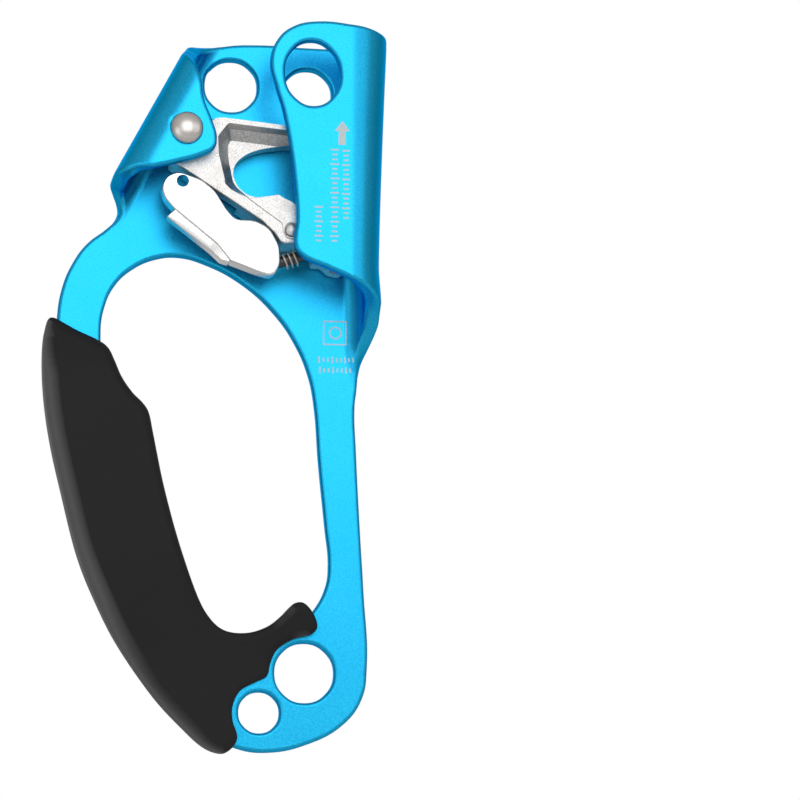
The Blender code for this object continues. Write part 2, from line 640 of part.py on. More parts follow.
def groove_outline():
    """The mud groove down the middle of the toothed face."""
    outer = [spiral(angle, inset=-4.0) for angle in (2.0, -14.0, -30.0, -46.0)]
    inner = [spiral(angle, inset=2.6) for angle in (-46.0, -30.0, -14.0, 2.0)]
    return outer + inner


def turned_block(size, centre, turn):
    """A block of a size in millimetres, turned and put at a place."""
    bm = bmesh.new()
    bmesh.ops.create_cube(bm, size=1.0)
    stretch = Matrix.Diagonal((*(side * MM for side in size), 1.0))
    bmesh.ops.transform(bm, matrix=Matrix.Translation(Vector(centre) * MM) @ turn @ stretch, verts=bm.verts)
    return bm


def arm_relief():
    """Behind the middle of the arm the casting is cut back to a rib."""
    return turned_block((11.0, 10.0, 5.0), (-32.0, 4.0, -16.2), Matrix.Rotation(math.radians(32), 4, "Y"))


# ---------------------------------------------------------------- axle set

def make_axle(parts, finish):
    """The rivet that the cam turns on: domed front head, shank and riveted rear end."""
    head = PLATE_FRONT + PLATE_T + GAP
    dome = [(0.0, head + 2.2), (1.6, head + 2.05), (2.9, head + 1.55), (3.7, head + 0.85), (4.05, head + 0.1),
            (4.05, head)]
    shank = [(AXLE_R - 0.1, head), (AXLE_R - 0.1, -head + GAP), (2.2, -head - 1.2), (0.0, -head - 1.2)]
    return turned("cam_axle", dome + shank, (AXLE[0], 0, AXLE[1]), (0, -1, 0), parts, finish)


def make_rings(parts, steel, bronze):
    """The bush and washers on the axle, and the rear collar that the rivet is closed over."""
    place = (AXLE[0], 0, AXLE[1])
    forward = (0, -1, 0)
    inner = AXLE_R + 0.2
    end = CAM_T / 2
    turned("cam_bush", [(BUSH_R, end), (BUSH_R, -end), (inner, -end), (inner, end)],
           place, forward, parts, bronze, 24)
    for name, low in (("cam_front_washer", end + GAP), ("cam_rear_washer", -end - GAP - WASHER_T)):
        high = low + WASHER_T
        turned(name, [(WASHER_R, high), (WASHER_R, low), (inner, low), (inner, high)],
               place, forward, parts, steel, 24)
    rear = -(PLATE_FRONT + PLATE_T + GAP)
    collar = [(4.6, rear), (4.9, rear - 0.4), (4.6, rear - 1.0), (inner, rear - 1.0), (inner, rear)]
    turned("cam_axle_collar", collar, place, forward, parts, steel, 24)


def helix(turns, radius, pitch, per_turn, start, up, front):
    """Coil points about an axis, from a starting angle; angles run from front to up."""
    along = up.cross(front)
    places = []
    for index in range(round(turns * per_turn) + 1):
        angle = start - 2 * math.pi * index / per_turn
        across = radius * math.cos(angle) * front + radius * math.sin(angle) * up
        places.append(across + along * pitch * index / per_turn)
    return places


def make_cam_spring(parts, finish):
    """The torsion spring behind the hub, its end bent towards the bracket's wall."""
    wire_radius, radius, pitch, turns = CAM_SPRING
    start = Vector((AXLE[0], SPRING_SEAT + wire_radius + 0.35, AXLE[1]))
    coil = helix(turns, radius, pitch, 16, math.radians(-60), Vector((0, 0, 1)), Vector((1, 0, 0)))
    places = [start + point for point in coil]
    leg = places[-1] + Vector((-1.4, 0.0, -1.0))
    return wire("cam_spring", places + [leg], wire_radius, parts, finish)


# ---------------------------------------------------------------- catch

def catch_outline():
    """The catch's body from the front, anticlockwise from its cord end."""
    tip = [(-42.2, -10.1, 6.0), (-45.4, -11.4, 6.0), (-46.7, -14.4, 6.0), (-45.6, -17.4, 6.0),
           (-43.3, -20.0, 1.2)]
    foot = [(-32.3, -28.9, 3.0), (-28.7, -33.3, 1.0), (-21.5, -35.9, 3.0), (-17.8, -36.9, 4.0)]
    barrel = [(-15.9, -33.6, 5.0), (-16.1, -28.9, 6.0), (-18.8, -24.2, 6.0), (-22.6, -22.4, 6.0)]
    waist = [(-27.6, -22.4, 6.0), (-30.0, -19.6, 6.0), (-32.9, -15.0, 8.0), (-36.4, -12.2, 8.0)]
    return rounded(tip + foot + barrel + waist)


def flange_corners():
    """The thumb flange's corners from the front, anticlockwise from its free upper corner."""
    return [(-45.3, -21.9), (-34.0, -30.5), (-31.3, -33.0), (-29.3, -33.6), (-28.0, -32.4), (-29.6, -30.4),
            (-34.0, -26.6), (-42.6, -19.4)]


def make_thumb_flange():
    """The ledge along the catch's lower edge, its face leaning back a little outwards."""
    corners = [(x, z, 0.7) for x, z in flange_corners()]
    middle = CATCH_BACK - CATCH_T + 0.4 + FLANGE_T / 2
    bm = stand_up(outline_solid([rounded(corners)], FLANGE_T, 0.4, smooth=False), middle)
    for vert in bm.verts:
        outer = vert.co.x + vert.co.z * 1.3 < -70.5 * MM
        if vert.co.y < middle * MM and outer:
            vert.co.y += FLANGE_LEAN * MM
    return bm


def thumb_slot():
    """A long shallow recess in the flange's face."""
    corners = [(-43.4, -21.6, 0.3), (-34.0, -29.2, 0.3), (-33.0, -28.2, 0.3), (-42.3, -20.7, 0.3)]
    return front_cutter(rounded(corners), CATCH_BACK - CATCH_T + 0.4 + THUMB_SLOT - 0.1)


def make_catch(parts, cutters, finish):
    """The safety catch with its cord hole, hinge bore and ribbed thumb flange."""
    middle = CATCH_BACK - CATCH_T / 2
    bm = stand_up(outline_solid([catch_outline()], CATCH_T, CATCH_RIM, smooth=False), middle)
    catch = put_object("safety_catch", mesh_from(bm, "safety_catch"), parts, finish, Vector(HINGE) * MM)
    add_boolean(catch, add_cutter("thumb_flange", make_thumb_flange(), cutters), "UNION")
    bore = rod(hinge_point(-6.6), hinge_point(2.0), HINGE_PIN_R + GAP, 20)
    for name, cutter in (("thumb_slot", thumb_slot()), ("thumb_grooves", thumb_grooves()),
                         ("cord_hole", through(CORD_HOLE, CORD_HOLE_R, sides=20)), ("catch_bore", bore)):
        add_boolean(catch, add_cutter(name, cutter, cutters))
    return catch


def thumb_grooves():
    """Eleven shallow cuts across the slot in the flange's face."""
    first, last = Vector((-42.9, -21.2)), Vector((-33.5, -28.7))
    run = last - first
    turn = Matrix.Rotation(-math.atan2(run.y, run.x), 4, "Y")
    width, depth = THUMB_RIB
    floor = CATCH_BACK - CATCH_T + 0.4 + THUMB_SLOT - 0.1 + depth
    whole = bmesh.new()
    for index in range(11):
        centre = first + run * (0.05 + 0.09 * index)
        part = turned_block((width, 1.0, 1.0), (centre.x, floor - 0.5, centre.y), turn)
        mesh = bpy.data.meshes.new("rib")
        part.to_mesh(mesh)
        part.free()
        whole.from_mesh(mesh)
        bpy.data.meshes.remove(mesh)
    return whole


def make_hinge(parts, steel, spring_steel):
    """The catch's hinge pin with its torsion spring, and the pin in the cam's toe."""
    low, high = HINGE_PIN
    end = HINGE_PIN_R - GAP
    pin = [(0.0, high), (end, high), (HINGE_PIN_R, high - GAP), (HINGE_PIN_R, low + GAP), (end, low),
           (0.0, low)]
    turned("catch_hinge_pin", pin, HINGE, HINGE_DIR, parts, steel, 20)
    wire_radius, radius, pitch, count = CATCH_SPRING
    up = Vector((-math.sin(HINGE_RISE), 0.0, math.cos(HINGE_RISE)))
    base = Vector(hinge_point(-1.9))
    turns = helix(count, radius, pitch, 14, math.radians(180), up, Vector((0, -1, 0)))
    coil = [base + point for point in turns]
    leg_in = [Vector((-19.6, 0.15, -30.6)), Vector((-16.4, 0.05, -31.6))]
    leg_out = [coil[-1] + Vector((0.6, -0.7, -0.5)), coil[-1] + Vector((5.4, -1.2, -3.4))]
    wire("catch_spring", leg_in + coil + leg_out, wire_radius, parts, spring_steel)
    head = CAM_T / 2
    rivet = [(0.0, head + 0.3), (TOE_PIN_R, head + 0.15), (TOE_HEAD_R - 0.1, head - 0.35),
             (TOE_HEAD_R, head - 1.0), (TOE_PIN_R, head - 1.0), (TOE_PIN_R, -3.4), (0.0, -3.4)]
    turned("toe_pin", rivet, (TOE_PIN[0], 0, TOE_PIN[1]), (0, -1, 0), parts, steel, 24)


def main():
    """Build the ascender."""
    clear_scene()
    parts = new_collection("ascender")
    cutters = new_collection("cutters")
    blue = surface("blue_anodised_aluminium", (0.03, 0.55, 0.83), 0.38, 0.9)
    black = surface("black_rubber", (0.02, 0.02, 0.02), 0.75, 0.0)
    cast = surface("satin_cast_steel", (0.72, 0.70, 0.68), 0.38, 1.0)
    bright = surface("bright_satin_steel", (0.82, 0.81, 0.80), 0.28, 1.0)
    rivet = surface("turned_steel", (0.62, 0.58, 0.55), 0.25, 1.0)
    bronze = surface("bush_bronze", (0.55, 0.38, 0.18), 0.4, 1.0)
    spring = surface("spring_steel", (0.42, 0.36, 0.30), 0.3, 1.0)
    make_frame(parts, blue)
    make_grip(parts, cutters, black)
    make_cam(parts, cutters, cast)
    make_axle(parts, rivet)
    make_rings(parts, rivet, bronze)
    make_cam_spring(parts, spring)
    make_catch(parts, cutters, bright)
    make_hinge(parts, rivet, spring)


main()
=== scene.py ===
"""Looks of the hand ascender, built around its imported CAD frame.

Sizes and places are millimetres in the CAD frame: the rope runs up Z, and the front faces -Y.
"""
import json
from math import atan2, cos, exp, pi, radians, sin, tan

import bmesh
import bpy
from mathutils import Matrix, Vector


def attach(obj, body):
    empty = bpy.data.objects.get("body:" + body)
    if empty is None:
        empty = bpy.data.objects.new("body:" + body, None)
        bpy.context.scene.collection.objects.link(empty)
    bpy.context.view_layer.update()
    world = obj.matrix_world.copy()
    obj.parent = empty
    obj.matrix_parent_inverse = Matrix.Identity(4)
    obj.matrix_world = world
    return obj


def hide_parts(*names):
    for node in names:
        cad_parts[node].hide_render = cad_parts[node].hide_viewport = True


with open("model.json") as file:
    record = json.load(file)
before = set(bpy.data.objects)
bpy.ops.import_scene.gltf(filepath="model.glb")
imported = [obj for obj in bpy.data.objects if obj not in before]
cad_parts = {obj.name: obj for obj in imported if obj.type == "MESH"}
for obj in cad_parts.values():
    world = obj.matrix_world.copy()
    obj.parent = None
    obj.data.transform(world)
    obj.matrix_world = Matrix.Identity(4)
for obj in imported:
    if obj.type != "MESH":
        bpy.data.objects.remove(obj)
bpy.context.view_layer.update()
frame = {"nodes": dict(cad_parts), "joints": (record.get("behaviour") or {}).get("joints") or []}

MM = 0.001

JOINTS = {joint["name"]: joint for joint in frame["joints"]}
AXLE = (JOINTS["cam_pivot"]["pos_m"][0] / MM, JOINTS["cam_pivot"]["pos_m"][2] / MM)
HINGE = tuple(value / MM for value in JOINTS["catch_hinge"]["pos_m"])
HINGE_DIR = Vector(JOINTS["catch_hinge"]["axis"])

# The plate, as in the CAD model
PLATE_T = 4.0
PLATE_RIM = 1.0  # rounding along the plate's cut edges
CHANNEL_GAP = 16.0  # clear depth inside the folded channel
PLATE_FRONT = CHANNEL_GAP / 2  # y of the back plate's front face
CHANNEL_R = 6.0  # inner bend radius
CHANNEL_X = 1.5  # x where the channel's bend starts
CHANNEL_FADE = (-63.0, 12.0)  # height where its bend begins, and the reach it takes to be full
CHANNEL_TAPER = (-33.0, 57.0, 0.73, 0.32)  # narrowest height, rise to full width, share there, gain
CHANNEL_FLARE = (0.1, -10.0)  # gain below the narrowest height, and the reach it takes
BRACKET_R = 4.0
BRACKET_START = (-33.15, 19.9)  # a point where the bracket's bend starts
BRACKET_LEAN = radians(28.2)  # its fold's lean from the Z axis
BRACKET_FADE = (50.0, -8.0)  # where its bend ends along it, and the reach it takes to be full
BRACKET_FOOT = 52.0  # the plate is flat from this far along the bracket
BEND_OUT = Vector((-cos(BRACKET_LEAN), sin(BRACKET_LEAN)))  # across the bracket's fold
BEND_DOWN = Vector((-sin(BRACKET_LEAN), -cos(BRACKET_LEAN)))  # along the bracket's fold
BEND_SLICE = 0.75  # spacing of edges in a bend
BRACKET_END = 54.0  # the bend's edges end this far along the bracket
FOOT_ROWS = (-64.0, -34.0, 1.0)  # first height, last height and spacing of edges
CHANNEL_ROWS = (-30.0, 24.0, 6.0)
BRACKET_ROWS = (41.0, 51.0, 0.8)
AXLE_R = 3.0  # the rivet's hole, less its clearance
RIVET_R = 4.15  # its head
BUSH_R = 3.9
GAP = 0.3  # clearance between neighbouring pieces
GRIP_HALF = 8.6  # half its thickness
GRIP_SLIM = (0.42, -140.0, 34.0)  # share of its thickness by the holes, and where it grows
GRIP_TIP = (0.62, -46.0, -16.0)  # the same for its upper end
GRIP_ROWS = (-157.0, -46.0, 2.0)


# Helpers

def add_object(name, data):
    """An object in the scene around its data."""
    made = bpy.data.objects.new(name, data)
    bpy.context.scene.collection.objects.link(made)
    return made


def solid(name, bm, finish=None, sharp=35.0):
    """A mesh object from a bmesh, smooth across angles that aren't sharp."""
    bmesh.ops.recalc_face_normals(bm, faces=bm.faces)
    mesh = bpy.data.meshes.new(name)
    bm.to_mesh(mesh)
    bm.free()
    mesh.shade_smooth()
    mesh.set_sharp_from_angle(angle=radians(sharp))
    if finish is not None:
        mesh.materials.append(finish)
    return add_object(name, mesh)


def evaluated(made):
    """An object's mesh with its modifiers, or with its curve's depth."""
    bpy.context.view_layer.update()
    return bpy.data.meshes.new_from_object(made.evaluated_get(bpy.context.evaluated_depsgraph_get()))


def add_spline(data, places, handle):
    """Add a Bezier spline through places in millimetres to a curve."""
    spline = data.splines.new("BEZIER")
    spline.bezier_points.add(len(places) - 1)
    for point, place in zip(spline.bezier_points, places):
        point.co = [value * MM for value in place]
        point.handle_left_type = point.handle_right_type = handle


def bmesh_of_curve(data, weld):
    """Turn a curve into a bmesh, its points welded within a distance, and remove the curve."""
    holder = add_object(data.name, data)
    mesh = evaluated(holder)
    bpy.data.objects.remove(holder, do_unlink=True)
    bpy.data.curves.remove(data)
    bm = bmesh.new()
    bm.from_mesh(mesh)
    bpy.data.meshes.remove(mesh)
    bmesh.ops.remove_doubles(bm, verts=bm.verts, dist=weld)
    return bm


def outline_solid(loops, thickness, rim, steps=8, grow=0.0, rounding=3, smooth=True):
    """Extrude closed outlines as a bmesh in metres: the plane is local XY, the extrusion is on Z."""
    data = bpy.data.curves.new("outline", "CURVE")
    data.dimensions = "2D"
    data.fill_mode = "BOTH"
    data.extrude = (thickness / 2 - rim) * MM
    data.bevel_depth = rim * MM
    data.bevel_resolution = rounding
    data.offset = (grow - rim) * MM
    data.resolution_u = steps
    for loop in loops:
        add_spline(data, [(x, z, 0.0) for x, z in loop], "AUTO" if smooth else "VECTOR")
        data.splines[-1].use_cyclic_u = True
    return bmesh_of_curve(data, 0.000002)


def stand_up(bm, y_middle):
    """Turn an outline solid to face -Y with its middle at a depth."""
    turn = Matrix.Translation((0, y_middle * MM, 0)) @ Matrix.Rotation(pi / 2, 4, "X")
    bmesh.ops.transform(bm, matrix=turn, verts=bm.verts)
    return bm


def ring(centre, radius, points=8, stretch=1.0, lean=0.0):
    """A clockwise circle or oval of outline points."""
    places = []
    for index in range(points):
        angle = -2 * pi * index / points
        across = radius * cos(angle)
        along = radius * stretch * sin(angle)
        places.append((centre[0] + across * cos(lean) - along * sin(lean),
                       centre[1] + across * sin(lean) + along * cos(lean)))
    return places


def rounded(corners, segments=6):
    """Corners of (x, z, radius) as a straight-sided loop with round corners."""
    places = []
    for index, (x, z, radius) in enumerate(corners):
        here = Vector((x, z))
        back = Vector(corners[index - 1][:2]) - here
        ahead = Vector(corners[(index + 1) % len(corners)][:2]) - here
        half = back.angle(ahead) / 2
        reach = min(radius / tan(half), 0.45 * back.length, 0.45 * ahead.length)
        if reach < 0.1:
            places.append((x, z))
            continue
        first = here + back.normalized() * reach
        last = here + ahead.normalized() * reach
        for step in range(segments + 1):
            t = step / segments
            places.append(tuple(first * (1 - t) ** 2 + here * 2 * t * (1 - t) + last * t * t))
    return places


def grown(loop, by):
    """An anticlockwise loop moved outwards, or an open row moved to its right."""
    places = []
    for index, place in enumerate(loop):
        ahead = Vector(loop[(index + 1) % len(loop)]) - Vector(loop[index - 1])
        places.append(tuple(Vector(place) + Vector((ahead.y, -ahead.x)).normalized() * by))
    return places


def bridge(bm, rows):
    """Join closed rows of as many vertices by faces; a row may be one vertex repeated."""
    for lower, upper in zip(rows, rows[1:]):
        for index in range(len(lower)):
            after = (index + 1) % len(lower)
            bm.faces.new(dict.fromkeys((lower[index], lower[after], upper[after], upper[index])))


def loft(*levels):
    """A solid through loops of as many points, each at its own depth."""
    bm = bmesh.new()
    rows = [[bm.verts.new((x * MM, y * MM, z * MM)) for x, z in loop] for loop, y in levels]
    bm.faces.new(rows[0])
    bm.faces.new(rows[-1])
    bridge(bm, rows)
    return bm


def aim(bm, centre, axis):
    """Turn a bmesh's Z axis to a direction and move it to a centre, in metres."""
    turn = axis.to_track_quat("Z", "Y").to_matrix().to_4x4()
    bmesh.ops.transform(bm, matrix=Matrix.Translation(centre) @ turn, verts=bm.verts)


def rod(start, end, radius, sides=48, end_radius=None):
    """A cylinder or cone between two points."""
    first = Vector(start) * MM
    last = Vector(end) * MM
    bm = bmesh.new()
    top = radius if end_radius is None else end_radius
    bmesh.ops.create_cone(bm, cap_ends=True, segments=sides, radius1=radius * MM, radius2=top * MM,
                          depth=(last - first).length)
    aim(bm, (first + last) / 2, last - first)
    return bm


def turned(name, profile, centre, axis, finish, steps=64):
    """A turned piece: a profile of (radius, height) swept about an axis."""
    bm = bmesh.new()
    angles = [2 * pi * index / steps for index in range(steps)]
    rows = []
    for radius, height in profile:
        if radius > 0.0:
            rows.append([bm.verts.new(Vector((radius * cos(angle), radius * sin(angle), height)) * MM)
                         for angle in angles])
        else:
            rows.append([bm.verts.new((0.0, 0.0, height * MM))] * steps)
    bridge(bm, rows)
    aim(bm, Vector(centre) * MM, Vector(axis))
    return solid(name, bm, finish, 30.0)


def wire(name, places, radius, finish):
    """A round wire through points, with closed ends."""
    data = bpy.data.curves.new(name, "CURVE")
    data.dimensions = "3D"
    data.bevel_depth = radius * MM
    data.bevel_resolution = 5
    data.use_fill_caps = True
    data.resolution_u = 4
    add_spline(data, places, "AUTO")
    return solid(name, bmesh_of_curve(data, 0.000001), finish, 50.0)


def finish_piece(made, node, body):
    """Let a piece stand in for a CAD node, on the node's body."""
    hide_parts(node)
    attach(made, body)


def bake(made):
    """Apply an object's modifiers to its mesh."""
    mesh = evaluated(made)
    made.modifiers.clear()
    made.data = mesh


def cut(made, bm, operation="DIFFERENCE"):
    """Cut or join a closed bmesh to an object's mesh."""
    other = solid("cutter", bm)
    boolean = made.modifiers.new("cut", "BOOLEAN")
    boolean.operation = operation
    boolean.solver = "EXACT"
    boolean.object = other
    bake(made)
    bpy.data.objects.remove(other, do_unlink=True)


def weigh_normals(made, sharp):
    """Keep the hard edges crisp and let the large faces lead the shading of the rest."""
    made.data.set_sharp_from_angle(angle=radians(sharp))
    weigh = made.modifiers.new("weigh", "WEIGHTED_NORMAL")
    weigh.keep_sharp = True
    weigh.weight = 80
    bake(made)


# Materials

def new_material(name, colour, roughness, metallic):
    """A Principled material, its node tree and its shader."""
    made = bpy.data.materials.new(name)
    made.use_nodes = True
    tree = made.node_tree
    shader = tree.nodes["Principled BSDF"]
    shader.inputs["Base Color"].default_value = (*colour, 1.0)
    shader.inputs["Roughness"].default_value = roughness
    shader.inputs["Metallic"].default_value = metallic
    return made, tree, shader


def add_node(tree, kind, inputs):
    """A shader node, each of its inputs given a constant or linked to a socket."""
    made = tree.nodes.new(kind)
    for name, value in inputs.items():
        if isinstance(value, bpy.types.NodeSocket):
            tree.links.new(value, made.inputs[name])
        else:
            made.inputs[name].default_value = value
    return made


def coordinates(tree, name):
    """One of the piece's own texture coordinates."""
    return add_node(tree, "ShaderNodeTexCoord", {}).outputs[name]


def noise(tree, scale, detail=3.0, roughness=0.55):
    """Noise over the piece's own coordinates, its features about 1/scale metres wide."""
    return add_node(tree, "ShaderNodeTexNoise", {"Vector": coordinates(tree, "Object"), "Scale": scale,
                                                 "Detail": detail, "Roughness": roughness}).outputs["Fac"]


def spread(tree, source, low, high, start=0.3, end=0.7):
    """Map a value between start and end to a range."""
    return add_node(tree, "ShaderNodeMapRange", {"Value": source, "From Min": start, "From Max": end,
                                                 "To Min": low, "To Max": high}).outputs["Result"]


def blend_colours(tree, factor, first, second):
    """Mix two colours, or a socket and a colour, by a factor."""
    made = tree.nodes.new("ShaderNodeMix")
    made.data_type = "RGBA"
    for socket, colour in ((made.inputs[6], first), (made.inputs[7], second)):
        if isinstance(colour, tuple):
            socket.default_value = (*colour, 1.0)
        else:
            tree.links.new(colour, socket)
    tree.links.new(factor, made.inputs[0])
    return made.outputs[2]


def feed(tree, shader, tint, roughness, bump):
    """Give a shader its tint, roughness and bumps: a height socket, a strength and a depth in metres."""
    height, strength, depth = bump
    made = add_node(tree, "ShaderNodeBump", {"Height": height, "Strength": strength, "Distance": depth})
    tree.links.new(made.outputs["Normal"], shader.inputs["Normal"])
    tree.links.new(tint, shader.inputs["Base Color"])
    tree.links.new(roughness, shader.inputs["Roughness"])


def anodised_blue():
    """Bead-blasted aluminium under a clear blue anodised skin."""
    made, tree, shader = new_material("blue_anodised", (0.02, 0.55, 0.88), 0.34, 1.0)
    pit, peak, patch = (0.010, 0.42, 0.78), (0.038, 0.62, 0.98), (0.005, 0.44, 0.82)
    speckle = noise(tree, 3200.0, 2.0, 0.6)
    cloud = noise(tree, 60.0, 2.0)
    tint = blend_colours(tree, spread(tree, speckle, 0.0, 1.0), pit, peak)
    tint = blend_colours(tree, spread(tree, cloud, 0.0, 0.22), tint, patch)
    feed(tree, shader, tint, spread(tree, speckle, 0.28, 0.42), (speckle, 0.5, 0.00003))
    shader.inputs["Specular Tint"].default_value = (0.05, 0.5, 0.85, 1.0)
    return made


def grip_rubber():
    """Matt black rubber with a painted sheen: lighter grey is painted on the faces turned left and down,
    along its outer palm side.
    """
    made, tree, shader = new_material("grip_rubber", (0.010, 0.0095, 0.010), 0.6, 0.0)
    dark, light, sheen_grey = (0.015, 0.0145, 0.015), (0.020, 0.019, 0.0195), (0.12, 0.115, 0.12)
    grain = noise(tree, 2600.0, 3.0, 0.6)
    cloud = noise(tree, 70.0, 3.0)
    # Painted sheen: faces turned left and down are painted lighter grey, standing in for the light's
    # reflection along the outer palm side.
    facing = add_node(tree, "ShaderNodeVectorMath", {0: coordinates(tree, "Normal"), 1: (-0.85, 0.0, -0.52)})
    facing.operation = "DOT_PRODUCT"
    painted_sheen = spread(tree, facing.outputs["Value"], 0.0, 1.0, 0.12, 0.6)
    tint = blend_colours(tree, spread(tree, cloud, 0.0, 1.0), dark, light)
    tint = blend_colours(tree, painted_sheen, tint, sheen_grey)
    feed(tree, shader, tint, spread(tree, cloud, 0.55, 0.68), (grain, 0.3, 0.00003))
    shader.inputs["Specular IOR Level"].default_value = 0.2
    return made


def cast_steel():
    """Satin cast steel: a sparkling grain of bright and dull specks over slight stains."""
    made, tree, shader = new_material("cast_steel", (0.66, 0.64, 0.62), 0.42, 1.0)
    dull, bright, stained = (0.54, 0.52, 0.50), (0.98, 0.97, 0.96), (0.42, 0.37, 0.33)
    grain = noise(tree, 2300.0, 4.0, 0.7)
    stain = noise(tree, 260.0, 3.0)
    tint = blend_colours(tree, spread(tree, grain, 0.0, 1.0, 0.36, 0.62), dull, bright)
    tint = blend_colours(tree, spread(tree, stain, 0.0, 0.35, 0.55, 0.75), tint, stained)
    feed(tree, shader, tint, spread(tree, grain, 0.34, 0.5), (grain, 0.5, 0.00006))
    return made


def laser_mark():
    """The pale frosted skin that a laser leaves on anodised aluminium."""
    made, tree, shader = new_material("laser_mark", (0.62, 0.72, 0.74), 0.6, 0.25)
    fleck = noise(tree, 5200.0, 2.0)
    tint = blend_colours(tree, spread(tree, fleck, 0.0, 1.0), (0.52, 0.68, 0.72), (0.74, 0.80, 0.80))
    tree.links.new(tint, shader.inputs["Base Color"])
    return made


def satin_steel(name, colour, roughness, grain_scale, grain_depth):
    """Cast or turned steel with a fine grain and slight tonal variation."""
    made, tree, shader = new_material(name, colour, roughness, 1.0)
    grain = noise(tree, grain_scale, 3.0, 0.6)
    cloud = noise(tree, 120.0, 2.0)
    darker = tuple(value * 0.9 for value in colour)
    tint = blend_colours(tree, spread(tree, cloud, 0.0, 1.0), colour, darker)
    rough = spread(tree, grain, roughness * 0.85, roughness * 1.15)
    feed(tree, shader, tint, rough, (grain, 0.4, grain_depth))
    return made


# The folded plate

def bend_point(length, strength, radius):
    """Follow the sheet's inner face through a U bend: distance out, distance forward, angle."""
    quarter = radius * pi / 2
    out, forward, angle = 0.0, 0.0, 0.0
    bend = strength / radius
    for stretch, curve in ((quarter, bend), (CHANNEL_GAP - 2 * radius, 0.0), (quarter, bend), (1e3, 0.0)):
        step = min(length, stretch)
        if curve > 1e-6:
            out += (sin(angle + curve * step) - sin(angle)) / curve
            forward += (cos(angle) - cos(angle + curve * step)) / curve
            angle += curve * step
        else:
            out += cos(angle) * step
            forward += sin(angle) * step
        length -= step
        if length <= 0.0:
            break
    return out, forward, angle


def sheet_length(radius):
    """Inner-face length of a whole U bend around the channel's gap."""
    return pi * radius + CHANNEL_GAP - 2 * radius


def ease(value, start, reach):
    """Smooth step from 0 at a start to 1 at a signed reach from it."""
    share = min(max((value - start) / reach, 0.0), 1.0)
    return share * share * (3 - 2 * share)


def channel_width(height):
    """How far the channel's bend reaches out: it narrows downwards and flares again at its foot."""
    narrowest, rise, share, gain = CHANNEL_TAPER
    flare, reach = CHANNEL_FLARE
    taper = min(max((height - narrowest) / rise, 0.0), 1.0) ** 1.3
    full = share + gain * taper + flare * ease(height, narrowest, reach)
    return 1.0 + (full - 1.0) * ease(height, *CHANNEL_FADE)


def fold(u, v, depth):
    """Where a point of the flat blank goes when the plate is folded."""
    offset = Vector((u - BRACKET_START[0], v - BRACKET_START[1]))
    out, along = offset.dot(BEND_OUT), offset.dot(BEND_DOWN)
    if u > CHANNEL_X:
        reach, forward, angle = bend_point(u - CHANNEL_X, ease(v, *CHANNEL_FADE), CHANNEL_R)
        x = CHANNEL_X + max(reach, 0.0) * channel_width(v) + min(reach, 0.0) + depth * sin(angle)
        return Vector((x, PLATE_FRONT - forward + depth * cos(angle), v))
    if out > 0.0 and along < BRACKET_FOOT:
        reach, forward, angle = bend_point(out, ease(along, *BRACKET_FADE), BRACKET_R)
        place = BEND_OUT * (reach + depth * sin(angle)) + BEND_DOWN * along
        y = PLATE_FRONT - forward + depth * cos(angle)
        return Vector((BRACKET_START[0] + place.x, y, BRACKET_START[1] + place.y))
    return Vector((u, PLATE_FRONT + depth, v))


def on_wing(x, z):
    """Blank position of a point on the channel's front wing."""
    return 2 * CHANNEL_X + sheet_length(CHANNEL_R) - x, z


def on_channel(length, z):
    """Blank position at a sheet length round the channel's bend."""
    return CHANNEL_X + length, z


def on_bracket(length, along):
    """Blank position at a sheet length round the bracket's bend."""
    place = Vector(BRACKET_START) + BEND_OUT * length + BEND_DOWN * along
    return place.x, place.y


def on_flap(x, z):
    """Blank position of a point on the bracket's front flap."""
    offset = Vector((x - BRACKET_START[0], z - BRACKET_START[1]))
    return on_bracket(sheet_length(BRACKET_R) - offset.dot(BEND_OUT), offset.dot(BEND_DOWN))


def loop_outline():
    """The hand opening's outline, clockwise: the part beside the thumb, the leg and the grip."""
    return [(-60.9, -50.0), (-60.0, -43.2), (-57.3, -37.2), (-52.7, -32.8), (-46.8, -30.1), (-41.0, -29.5),
            (-34.4, -31.1), (-24.5, -36.2), (-15.8, -44.1), (-10.4, -52.0), (-7.1, -59.9),
            (-5.7, -66.5), (-4.3, -83.1), (-2.6, -99.6), (-1.7, -108.8), (-2.4, -114.8),
            (-5.9, -121.4), (-12.5, -128.0), (-21.0, -132.8), (-29.5, -133.0), (-36.8, -126.5),
            (-42.2, -114.0), (-46.6, -98.8), (-50.4, -82.0), (-54.2, -71.0), (-59.4, -61.0)]


